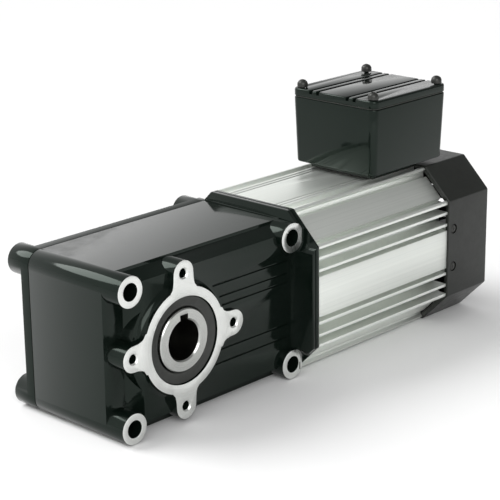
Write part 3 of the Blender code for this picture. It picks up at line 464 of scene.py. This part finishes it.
BOSS_LEFT, BOSS_RIGHT, BOSS_LOW, BOSS_HIGH = -42.4, 94.9, -43.0, 41.0
BOSSES = [(x, z) for x in (BOSS_LEFT, BOSS_RIGHT) for z in (BOSS_LOW, BOSS_HIGH)]
BOSS_RADIUS, BOLT_RADIUS, SPOT_RADIUS = 9.5 - TRIM, 5.5, 9.8
BOSS_REAR = 97.0 - TRIM
COVER_SCREWS = [(x, z) for x in (14.0, 68.0) for z in (-47.0, 45.0)]

HUB_FACE_RADIUS, HUB_RADIUS, HUB_STRAIGHT, HUB_SWEEP = 33.0, 38.6, 1.2, 4.3
REAR_FACE = 96.0
EAR_REACH, EAR_RADIUS = 41.6, 8.0
SEAL_RADIUS, BEARING_RADIUS = 27.3, 31.0

# Cutters and cores that go right through the case start and end here
PAST_FRONT, PAST_REAR = -5, 110


def case_outline():
    """The case from the front: its left corners are cut off where the bosses stand."""
    left, right = CASE_LEFT + 0.1, FLANGE_START + 0.5
    low, high = CASE_LOW + 0.1, CASE_HIGH - 0.1
    return [
        (right, high), (BOSS_LEFT, high), (left, BOSS_HIGH),
        (left, BOSS_LOW), (BOSS_LEFT, low), (right, low),
    ]


def hub(face, direction, back):
    """The round hub: a flat machined face, a short straight side and a swept foot."""
    profile = [(0, face), (HUB_FACE_RADIUS, face), (HUB_FACE_RADIUS, face + direction * HUB_STRAIGHT)]
    steps = 8
    for i in range(1, steps + 1):
        angle = math.pi / 2 * i / steps
        radius = HUB_RADIUS - (HUB_RADIUS - HUB_FACE_RADIUS) * math.cos(angle)
        profile.append((radius, face + direction * (HUB_STRAIGHT + HUB_SWEEP * math.sin(angle) ** 1.4)))
    profile += [(HUB_RADIUS, back), (0, back)]
    return turned("hub", "y", (0, 0), profile, 96)


def ear(number):
    """One ear of the flange, with sides that flare into the ring, more so to the left and right."""
    root = 4.4 if number % 2 == 0 else 2.4
    side = EAR_RADIUS + 0.2
    sweep = [(38.0, 0.0), (35.2, 0.15), (33.2, 0.4), (31.6, 1.0), (28.5, 1.0)]
    flare = [(reach, side + part * root) for reach, part in sweep]
    outline = arc((EAR_REACH, 0), EAR_RADIUS, -86, 86, 24)
    outline += flare + [(u, -v) for u, v in reversed(flare)]
    return bar("ear", "y", (0, 0), turn(outline, number), 0, PANEL_REAR)


def front_panel():
    """The raised panel with its sloped top, bottom and left sides."""
    right = FLANGE_START + 0.8
    back = corners((-37.5, -51.0), (right, 49.5))
    front = corners((-29.5, -44.6), (right, 43.1))
    return lofted("panel", "y", (0, 0), [(back, PANEL_REAR), (front, PANEL_FRONT)])


def case_cavity():
    """The room for the gears, less the bosses, the shaft's seats and the cover screws' posts."""
    low = (CASE_LEFT + WALL, 17.0, CASE_LOW + WALL)
    high = (CASE_RIGHT - WALL - 1, 83.0, CASE_HIGH - WALL)
    cavity = block("cavity", low, high)
    cores = [round_bar("core", "y", centre, BOSS_RADIUS, 0, 90, 24) for centre in BOSSES]
    cores.append(round_bar("core", "y", (0, 0), 36.0, 0, 24.0, 48))
    cores += [round_bar("core", "y", centre, 5.0, 58, 90, 16) for centre in COVER_SCREWS]
    return cut(cavity, *cores)


def bolt_holes():
    return [round_bar("hole", "y", centre, BOLT_RADIUS, PAST_FRONT, PAST_REAR, 40) for centre in BOSSES]


def spot_faces():
    """Room for the bolts' heads, which stops short of the motor flange's rear."""
    spots = []
    for z in (BOSS_LOW, BOSS_HIGH):
        spot = round_bar("spot", "y", (BOSS_RIGHT, z), SPOT_RADIUS, -20, 0, 64)
        web = block("web", (FLANGE_END - 0.9, -30, z - 20), (120, 10, z + 20))
        spots.append(cut(spot, web))
    return spots


def ear_holes():
    profile = [(0, -1), (4.4, -1), (3.6, 0.0), (2.8, 0.9), (2.8, 12.0), (0, 13.6)]
    centres = [turn([(EAR_REACH, 0)], number)[0] for number in range(4)]
    return [turned("ear_hole", "y", centre, profile, 32) for centre in centres]


def panel_grooves():
    """The fine lines across the front panel, from the hub to the motor flange."""
    section = [(-0.8, 0.6), (-0.4, -1.2), (0.4, -1.2), (0.8, 0.6)]
    grooves = []
    for z in (25.3, 17.1, 11.2, -16.9, -25.4):
        start = math.sqrt(HUB_RADIUS**2 - z**2) - 0.4
        outline = [(PANEL_FRONT - depth, z + across) for across, depth in section]
        grooves.append(bar("groove", "x", (0, 0), outline, start, 96.1))
    return grooves


def flange_line():
    """The fine line round the motor flange's edge."""
    line = octagon_bar("flange_line", MOTOR_HALF + 2, MOTOR_CHAMFER, LINE_START, LINE_END)
    inner = octagon_bar("inner", MOTOR_HALF - 0.7, MOTOR_CHAMFER - 0.25, LINE_START - 0.2, LINE_END + 0.4)
    return cut(line, inner)


def make_gear_housing():
    housing = bar("gear_case", "y", (0, 0), case_outline(), CASE_FRONT, SEAM_FRONT)
    flange = octagon_bar("flange", MOTOR_HALF, MOTOR_CHAMFER, FLANGE_START, FLANGE_END)
    join(housing, front_panel(), flange)
    bosses = [round_bar("boss", "y", centre, BOSS_RADIUS, 0, SEAM_FRONT, 48) for centre in BOSSES]
    join(housing, *bosses)
    join(housing, hub(0, 1, PANEL_REAR), *[ear(number) for number in range(4)])
    cut(housing, case_cavity())

    holes = bolt_holes() + spot_faces()
    holes += [round_bar("tap", "y", centre, 2.0, 64, 80, 16) for centre in COVER_SCREWS]
    holes.append(round_bar("seal_seat", "y", (0, 0), SEAL_RADIUS, PAST_FRONT, 10.5, 72))
    holes.append(round_bar("bearing_seat", "y", (0, 0), BEARING_RADIUS, 10.0, 30, 64))
    holes.append(round_bar("motor_seat", "x", MOTOR, 17.3, 92.5, 120, 48))
    holes.append(round_bar("motor_way", "x", MOTOR, 10.5, 85, 100, 32))
    cut(housing, *holes, *ear_holes())
    cut(housing, round_bar("layshaft_seat", "x", LAYSHAFT, 7.3, 85, 98, 32))
    cut(housing, *panel_grooves())
    cut(housing, flange_line())

    soften(housing, 0.45)
    piece(housing, "gear_case_painted", "gear_housing", [PAINT, FLANGE_METAL])
    paint_where(housing, lambda middle, normal: normal.y < -0.6 and -0.5 < middle.y < 0.5)


def make_housing_cover():
    cover = bar("cover", "y", (0, 0), case_outline(), SEAM_REAR, COVER_REAR)
    bosses = [round_bar("boss", "y", centre, BOSS_RADIUS, SEAM_REAR, BOSS_REAR, 48) for centre in BOSSES]
    join(cover, *bosses)
    join(cover, hub(REAR_FACE, -1, 82.0), round_bar("seat", "y", (0, 0), 33.6, 73.0, 82.0, 64))
    holes = [round_bar("hole", "y", centre, BOLT_RADIUS, 70, PAST_REAR, 40) for centre in BOSSES]
    holes += [round_bar("hole", "y", centre, 2.4, 70, PAST_REAR, 20) for centre in COVER_SCREWS]
    holes.append(round_bar("bearing_seat", "y", (0, 0), BEARING_RADIUS, 60, 86, 64))
    holes.append(round_bar("seal_seat", "y", (0, 0), SEAL_RADIUS, 85, PAST_REAR, 72))
    cut(cover, *holes)
    cut(cover, octagon_bar("clearance", MOTOR_HALF + 0.3, MOTOR_CHAMFER, FLANGE_START - 0.3, 120))
    soften(cover, 0.45)
    piece(cover, "case_cover_painted", "housing_cover", [PAINT, FLANGE_METAL])
    paint_where(cover, lambda middle, normal: normal.y > 0.9 and abs(middle.y - REAR_FACE) < 0.1)


# ---------------------------------------------------------------- output shaft and seals

BORE_RADIUS, SHAFT_RADIUS = 12.5, 19.6


def make_output_shaft():
    start, end, chamfer, edge = 0.3, 96.7, 0.9, 0.6
    profile = [
        (BORE_RADIUS + chamfer, start), (SHAFT_RADIUS - edge, start), (SHAFT_RADIUS, start + edge),
        (SHAFT_RADIUS, 22.6), (24.0, 22.6), (24.0, 46.0), (22.0, 46.0), (22.0, 72.0), (SHAFT_RADIUS, 72.0),
        (SHAFT_RADIUS, end - edge), (SHAFT_RADIUS - edge, end), (BORE_RADIUS + chamfer, end),
        (BORE_RADIUS, end - chamfer), (BORE_RADIUS, start + chamfer),
    ]
    shaft = turned("shaft", "y", (0, 0), profile, 96, closed=True)
    cut(shaft, block("keyway", (-3.2, -5, 8.5), (3.2, 105, 16.2)))
    soften(shaft, 0.2, 50)
    piece(shaft, "hollow_shaft_ground", "output_shaft", [SHAFT_METAL, BORE_PAINTED_SHADE], SHAFT_BODY)

    def in_bore(middle, normal):
        inside = math.hypot(middle.x, middle.z) < 16.5 and start + 1.2 < middle.y < end - 1.2
        return inside and abs(normal.y) < 0.5

    # The faces inside the bore take the dark steel, which paints in the shade that falls there
    paint_where(shaft, in_bore)


def make_seal(position, face, depth):
    """A lip seal: a rounded outer rim, a shallow dish, and a lip that leans in towards the shaft."""
    inwards = -1 if face > depth else 1
    lip = [(20.0, 2.2), (20.3, 1.3), (21.2, 0.8), (21.8, 1.0), (22.4, 0.5)]
    rim = [(25.6, 0.5), (26.0, 0.1), (26.5, 0.0), (26.9, 0.2), (27.0, 0.8)]
    profile = [(radius, face + inwards * sunk) for radius, sunk in lip + rim]
    profile += [(27.0, depth), (25.0, depth), (25.0, face + inwards * 3.0)]
    profile += [(22.0, face + inwards * 3.0), (21.6, depth), (20.8, depth), (20.1, face + inwards * 5.0)]
    seal = turned("seal", "y", (0, 0), profile, 96, closed=True)
    piece(seal, f"lip_seal_{position}", f"oil_seal_{position}", [RUBBER], angle=60)


# ---------------------------------------------------------------- motor body

WIRE_WAY = (218.2, 40.5)

# Half of one side of the fins, as (across, depth) from the side's middle outwards
PLAIN_SIDE = [
    (13.4, 0), (13.6, 7.4), (16.2, 7.6), (16.4, 0), (18.4, 0), (18.6, 9.7), (24.4, 10.2), (24.6, 0),
    (26.6, 0), (26.8, 13), (28.0, 12.8), (31.3, 5), (31.5, 0),
]
TOP_SIDE = [
    (17.0, 0), (17.3, 0.5), (18.1, 0.5), (18.4, 0), (20.6, 0), (20.9, 0.5), (21.7, 0.5), (22.0, 0),
    (24.6, 0), (24.8, 9.8), (28.0, 10.1), (31.3, 5), (31.5, 0),
]

# One notch of a chamfer, as (along, depth) from the chamfer's end
CHAMFER_NOTCH = [(1.7, 0.0), (1.7, 2.5), (5.6, 6.0), (5.6, 2.7)]


def fin_outline():
    """Four grooved sides and four chamfers with a notch near each end; the top side is the smooth one."""
    flat = MOTOR_HALF - MOTOR_CHAMFER
    length = MOTOR_CHAMFER * math.sqrt(2)
    slope = math.sqrt(0.5)
    notches = CHAMFER_NOTCH + [(length - along, depth) for along, depth in reversed(CHAMFER_NOTCH)]
    outline = []
    for quarter in range(4):
        side = TOP_SIDE if quarter == 1 else PLAIN_SIDE
        local = [(MOTOR_HALF - depth, -across) for across, depth in reversed(side)]
        local += [(MOTOR_HALF - depth, across) for across, depth in side]
        local.append((MOTOR_HALF, flat))
        for along, depth in notches:
            local.append((MOTOR_HALF - (along + depth) * slope, flat + (along - depth) * slope))
        local.append((flat, MOTOR_HALF))
        outline += turn(local, quarter)
    return outline


def make_motor_housing():
    body = bar("body", "x", MOTOR, fin_outline(), 104.9, 237.0)
    bore = round_bar("bore", "x", MOTOR, 45.5, 90, 250, 96)
    wire_way = round_bar("wire_way", "z", WIRE_WAY, 8.0, 45, 70, 32)
    cut(body, bore, wire_way)
    soften(body, 0.28, 40)
    piece(body, "finned_motor_body", "motor_housing", [EXTRUSION])


# ---------------------------------------------------------------- fan cowl

COWL_START, COWL_END = 237.3, 282.7 - TRIM
COWL_SIDE, COWL_CHAMFER = 54.9, 20.95
COWL_SCREWS = [(side, (243.3, MOTOR[1] + rise)) for side in (-1, 1) for rise in (-13.4, 13.4)]


def cowl_sections():
    """A slightly smaller front edge, then a rounded rear edge."""
    half = COWL_SIDE - TRIM
    edge, steps = 2.2, 8
    sections = [
        (octagon(half - 0.5, COWL_CHAMFER - 0.2, 1.6), COWL_START),
        (octagon(half, COWL_CHAMFER, 1.8), COWL_START + 0.5),
    ]
    for i in range(steps + 1):
        angle = math.pi / 2 * i / steps
        inset = edge * (1 - math.cos(angle))
        along = COWL_END - edge * (1 - math.sin(angle))
        sections.append((octagon(half - inset, COWL_CHAMFER - 0.58 * inset, 1.8), along))
    return sections


def grille_slots():
    """Seven long slots with round ends, which together fill a circle."""
    reach, pitch, half = 36.0, 9.0, 2.0
    slots = []
    for number in range(-3, 4):
        end = math.sqrt(reach**2 - (pitch * number) ** 2) - half
        z = MOTOR[1] + pitch * number
        outline = arc((MOTOR[0] + end, z), half, -90, 90, 8) + arc((MOTOR[0] - end, z), half, 90, 270, 8)
        slots.append(bar("grille_slot", "x", (0, 0), outline, COWL_END - 12, COWL_END + 5))
    return slots


def cowl_screw_holes():
    """A shallow recess for each screw's head and a hole for its shank."""
    holes = []
    for side, centre in COWL_SCREWS:
        face = MOTOR[0] + side * (COWL_SIDE - TRIM)
        outside = face + side * 5
        holes.append(round_bar("recess", "y", centre, 3.4, *sorted((face - side * 1.5, outside)), 32))
        holes.append(round_bar("way", "y", centre, 1.9, *sorted((face - side * 10, outside)), 20))
    return holes


def make_fan_cover():
    cowl = lofted("cowl", "x", MOTOR, cowl_sections())
    half = COWL_SIDE - TRIM - 2.6
    cut(cowl, octagon_bar("hollow", half, COWL_CHAMFER - 0.6, COWL_START - 5, COWL_END - 7, corner=1.0))
    cut(cowl, round_bar("grille_back", "x", MOTOR, 40.0, COWL_END - 8, COWL_END - 3, 64))
    cut(cowl, *grille_slots(), *cowl_screw_holes())
    piece(cowl, "fan_cowl", "fan_cover", [COWL])


# ---------------------------------------------------------------- terminal box

BOX_LOW, BOX_HIGH = (179.4, 4.4), (257.0, 75.8)
BOX_MIDDLE = 40.1
BOX_BOTTOM, BOX_TOP, LID_BOTTOM, LID_TOP = 61.0, 105.9, 106.65, 111.8
LID_SCREW_INSET = 5.2
LID_SCREWS = [
    (x, y)
    for x in (BOX_LOW[0] + LID_SCREW_INSET, BOX_HIGH[0] - LID_SCREW_INSET)
    for y in (BOX_LOW[1] + LID_SCREW_INSET, BOX_HIGH[1] - LID_SCREW_INSET)
]
PLUG_PLACE = (218.2, 86.4)


def inset_box(inset, radius):
    low = (BOX_LOW[0] + inset, BOX_LOW[1] + inset)
    high = (BOX_HIGH[0] - inset, BOX_HIGH[1] - inset)
    return rounded_box(low, high, radius)


def box_form(name, walls):
    """A solid through the box's outline at each (inset, corner radius, height)."""
    sections = [(inset_box(inset, radius), height) for inset, radius, height in walls]
    return lofted(name, "z", (0, 0), sections)


def make_terminal_box():
    body = box_form("box", [
        (2.4, 3.4, BOX_BOTTOM), (1.7, 4.1, BOX_BOTTOM + 0.5), (1.5, 4.3, BOX_BOTTOM + 1.4),
        (0.0, 5.0, BOX_TOP - 0.8), (0.15, 4.9, BOX_TOP - 0.25), (0.5, 4.6, BOX_TOP),
    ])
    join(body, bar("neck", "z", (0, 0), rounded_box((188.4, 12.4), (236.0, 67.8), 2.5), 57.6, 62.0))
    hollow = bar("hollow", "z", (0, 0), inset_box(3, 2), 64.0, 115)
    cut(hollow, *[round_bar("post", "z", centre, 4.6, 60, 120, 24) for centre in LID_SCREWS])
    cut(body, hollow)
    holes = [round_bar("tap", "z", centre, 1.9, 90, 120, 16) for centre in LID_SCREWS]
    holes.append(round_bar("wire_way", "z", WIRE_WAY, 8.0, 50, 70, 24))
    holes.append(round_bar("entry", "y", PLUG_PLACE, 10.4, 66, 83, 48))
    cut(body, *holes)
    piece(body, "wiring_box_painted", "terminal_box", [PAINT])


def make_terminal_box_lid():
    lid = box_form("lid", [
        (0.3, 4.7, LID_BOTTOM), (0.0, 5.0, LID_BOTTOM + 0.35), (0.0, 5.0, LID_TOP - 1.2),
        (0.2, 4.8, LID_TOP - 0.5), (0.6, 4.4, LID_TOP - 0.12), (1.1, 3.9, LID_TOP),
    ])
    grooves = []
    for offset in (-18.8, -12.8, 12.8, 18.8):
        y = BOX_MIDDLE + offset
        above, floor = LID_TOP + 0.7, LID_TOP - 2.4
        outline = [(y - 1.5, above), (y - 1.2, floor), (y + 1.2, floor), (y + 1.5, above)]
        grooves.append(bar("groove", "x", (0, 0), outline, BOX_LOW[0] - 4.4, BOX_HIGH[0] + 3))
    cut(lid, *grooves)
    cut(lid, *[round_bar("hole", "z", centre, 2.1, 100, 120, 20) for centre in LID_SCREWS])
    soften(lid, 0.25, 40)
    piece(lid, "wiring_box_lid_painted", "terminal_box_lid", [PAINT])


def make_plug():
    profile = [
        (0, 71.9), (9.4, 71.9), (10.0, 72.5), (10.0, 76.1), (12.6, 76.1), (13.0, 76.5), (13.0, 80.1),
        (12.4, 80.7), (9.0, 80.8), (8.6, 80.3), (0, 80.3),
    ]
    plug = turned("plug", "y", PLUG_PLACE, profile)
    x, z = PLUG_PLACE
    cut(plug, block("slot", (x - 7, 79.1, z - 1.2), (x + 7, 84, z + 1.2)))
    piece(plug, "conduit_plug_moulded", "conduit_plug", [PLUG])


# ---------------------------------------------------------------- screws


def cross_recess(axis, centre, face, out, size, depth):
    """The two crossing slots of a cross-head screw, narrowing inwards."""
    thin = 0.22 * size
    arms = []
    for wide, high, squeeze_u, squeeze_v in ((size, thin, 0.45, 0.8), (thin, size, 0.8, 0.45)):
        top = corners((-wide, -high), (wide, high))
        deep = [(squeeze_u * u, squeeze_v * v) for u, v in top]
        arms.append(lofted("arm", axis, centre, [(top, face + out * 0.4), (deep, face - out * depth)]))
    return arms


def screw(name, node, axis, centre, seat, out, head, shank, tip, socket=False):
    """A round head on a plain shank: out is the way the head points, head is its (radius, height)."""
    radius, height = head
    top = seat + out * height
    profile = [
        (0, tip), (shank - 0.3, tip), (shank, tip + out * 0.5), (shank, seat),
        (radius - 0.15, seat), (radius, seat + out * 0.2),
    ]
    if socket:
        profile += [(radius, top - out * 0.4), (radius - 0.4, top)]
    else:
        rise, steps = 0.35 * height, 8
        for i in range(steps):
            angle = math.pi / 2 * i / steps
            dome = rise + (height - rise) * math.sin(angle)
            profile.append((radius * math.cos(angle), seat + out * dome))
    profile.append((0, top))
    made = turned("screw", axis, centre, profile, 40)
    if socket:
        hexagon = arc((0, 0), 0.5 * radius, 0, 300, 5)
        cut(made, bar("socket", axis, centre, hexagon, *sorted((top - out * 0.6 * height, top + out))))
    else:
        cut(made, *cross_recess(axis, centre, top, out, 0.5 * radius, 0.45 * height))
    piece(made, name, node, [DARK_STEEL])


def make_screws():
    for number, centre in enumerate(COVER_SCREWS, 1):
        names = (f"case_cap_screw_{number}", f"cover_screw_{number}")
        screw(*names, "y", centre, COVER_REAR + 0.3, 1, (3.5, 3.4), 1.7, 68.2, socket=True)
    for number, centre in enumerate(LID_SCREWS, 1):
        names = (f"lid_pan_screw_{number}", f"lid_screw_{number}")
        screw(*names, "z", centre, LID_TOP + 0.3, 1, (3.6, 5.0), 1.6, 96.3)
    for number, (side, centre) in enumerate(COWL_SCREWS, 1):
        names = (f"cowl_pan_screw_{number}", f"fan_cover_screw_{number}")
        face = MOTOR[0] + side * COWL_SIDE
        screw(*names, "y", centre, face - side * 1.2, side, (3.0, 1.1), 1.5, face - side * 8.3)


# ---------------------------------------------------------------- carried-over pieces


def dress(material, *names):
    """Gives carried-over nodes their material; their meshes stay as they are."""
    for name in names:
        materials = frame["nodes"][name].data.materials
        materials.clear()
        materials.append(material)


def dress_frame():
    dress(BRONZE, "bevel_wheel")
    dress(GEAR_STEEL, "bevel_pinion_shaft", "intermediate_gear", "layshaft", "layshaft_gear")
    for side in ("left", "right"):
        dress(GEAR_STEEL, f"layshaft_bearing_{side}", f"pinion_bearing_{side}")
    dress(ROTOR_METAL, "rotor_shaft", "motor_bearing_front", "motor_bearing_rear")
    for end in ("front", "rear"):
        dress(SHAFT_METAL, f"output_bearing_{end}_inner", f"output_bearing_{end}_outer")
    dress(SHEETS, "stator_core", "rotor_core")
    dress(COPPER, "winding_front", "winding_rear")
    dress(SHIELD_METAL, "rear_end_shield")
    dress(INSIDE, "bearing_carrier")
    dress(GASKET, "cover_gasket", "box_gasket", "lid_gasket")
    dress(MOULDED, "terminal_block")
    dress(PLUG, "cooling_fan")
    dress(DARK_STEEL, "fan_retaining_ring", *[f"end_shield_screw_{number}" for number in (1, 2, 3, 4)])


# ---------------------------------------------------------------- studio

# The camera's lens in millimetres, its direction in radians and its place
LENS = 123.0912
YAW, PITCH, ROLL = 0.81331, 0.307815, -0.01216
CAMERA_PLACE = (-659.4, -677.1, 355.7)

# Where the studio had no lamp: high up, in front and to the right
DARK_SIDE = Vector((0.55, -0.45, 0.70))


def make_floor():
    nodes = Nodes("pale_floor", (0.90, 0.90, 0.90), 0.9)
    nodes.colour(nodes.noise(nodes.place, 0.7), (0.89, 0.89, 0.89), (0.91, 0.91, 0.91))
    floor = bpy.data.objects.new("floor", bpy.data.meshes.new("floor"))
    work = bmesh.new()
    bmesh.ops.create_grid(work, x_segments=1, y_segments=1, size=30)
    work.to_mesh(floor.data)
    work.free()
    floor.data.materials.append(nodes.material)
    floor.location.z = -0.0005
    SCENE.collection.objects.link(floor)


def make_softbox():
    """A square lamp in front and to the left, turned to the object."""
    place, target = Vector((-1.0, -1.6, 1.1)), Vector((0.0, 0.0, 0.06))
    light = bpy.data.lights.new("front_softbox", "AREA")
    light.shape = "RECTANGLE"
    light.size = 1.2
    light.size_y = 1.2
    light.energy = 17
    lamp = bpy.data.objects.new("front_softbox", light)
    lamp.location = place
    lamp.rotation_euler = (target - place).to_track_quat("-Z", "Y").to_euler()
    SCENE.collection.objects.link(lamp)


def make_sun():
    """A wide, far lamp that shines from behind, above and the left."""
    sun = bpy.data.lights.new("soft_top_light", "SUN")
    sun.energy = 1.9
    sun.angle = math.radians(36)
    lamp = bpy.data.objects.new("soft_top_light", sun)
    lamp.rotation_euler = Vector((0.38, -0.62, -0.69)).to_track_quat("-Z", "Y").to_euler()
    SCENE.collection.objects.link(lamp)


def make_world():
    """White all round, and darker towards DARK_SIDE."""
    world = bpy.data.worlds.new("studio")
    SCENE.world = world
    world.use_nodes = True
    tree = world.node_tree
    background = tree.nodes["Background"]
    way = tree.nodes.new("ShaderNodeTexCoord")
    dot = tree.nodes.new("ShaderNodeVectorMath")
    dot.operation = "DOT_PRODUCT"
    dot.inputs[1].default_value = DARK_SIDE.normalized()
    tree.links.new(way.outputs["Generated"], dot.inputs[0])
    ramp = tree.nodes.new("ShaderNodeMapRange")
    ramp.inputs["From Min"].default_value = 0.35
    ramp.inputs["From Max"].default_value = 0.75
    ramp.inputs["To Min"].default_value = 1.0
    ramp.inputs["To Max"].default_value = 0.30
    tree.links.new(dot.outputs["Value"], ramp.inputs["Value"])
    tree.links.new(ramp.outputs["Result"], background.inputs["Strength"])
    background.inputs["Color"].default_value = (1, 1, 1, 1)


def make_camera():
    camera = bpy.data.objects.new("camera", bpy.data.cameras.new("camera"))
    camera.data.sensor_width = 36.0
    camera.data.lens = LENS
    camera.data.clip_start = 0.05
    camera.data.clip_end = 100
    back = Vector((-math.sin(YAW) * math.cos(PITCH), -math.cos(YAW) * math.cos(PITCH), math.sin(PITCH)))
    right = (-back).cross(Vector((0, 0, 1))).normalized()
    up = right.cross(-back)
    side = right * math.cos(ROLL) + up * math.sin(ROLL)
    top = up * math.cos(ROLL) - right * math.sin(ROLL)
    place = ORIGIN + Vector(CAMERA_PLACE) * 0.001
    rows = [(side[i], top[i], back[i], place[i]) for i in range(3)]
    camera.matrix_world = Matrix(rows + [(0, 0, 0, 1)])
    SCENE.collection.objects.link(camera)
    SCENE.camera = camera


def main():
    make_camera()
    make_gear_housing()
    make_housing_cover()
    make_output_shaft()
    make_seal("front", 1.0, 8.8)
    make_seal("rear", 95.0, 87.0)
    make_motor_housing()
    make_fan_cover()
    make_screws()
    make_terminal_box()
    make_terminal_box_lid()
    make_plug()
    dress_frame()
    make_floor()
    make_world()
    make_sun()
    make_softbox()
    SCENE.view_settings.view_transform = "Standard"


main()
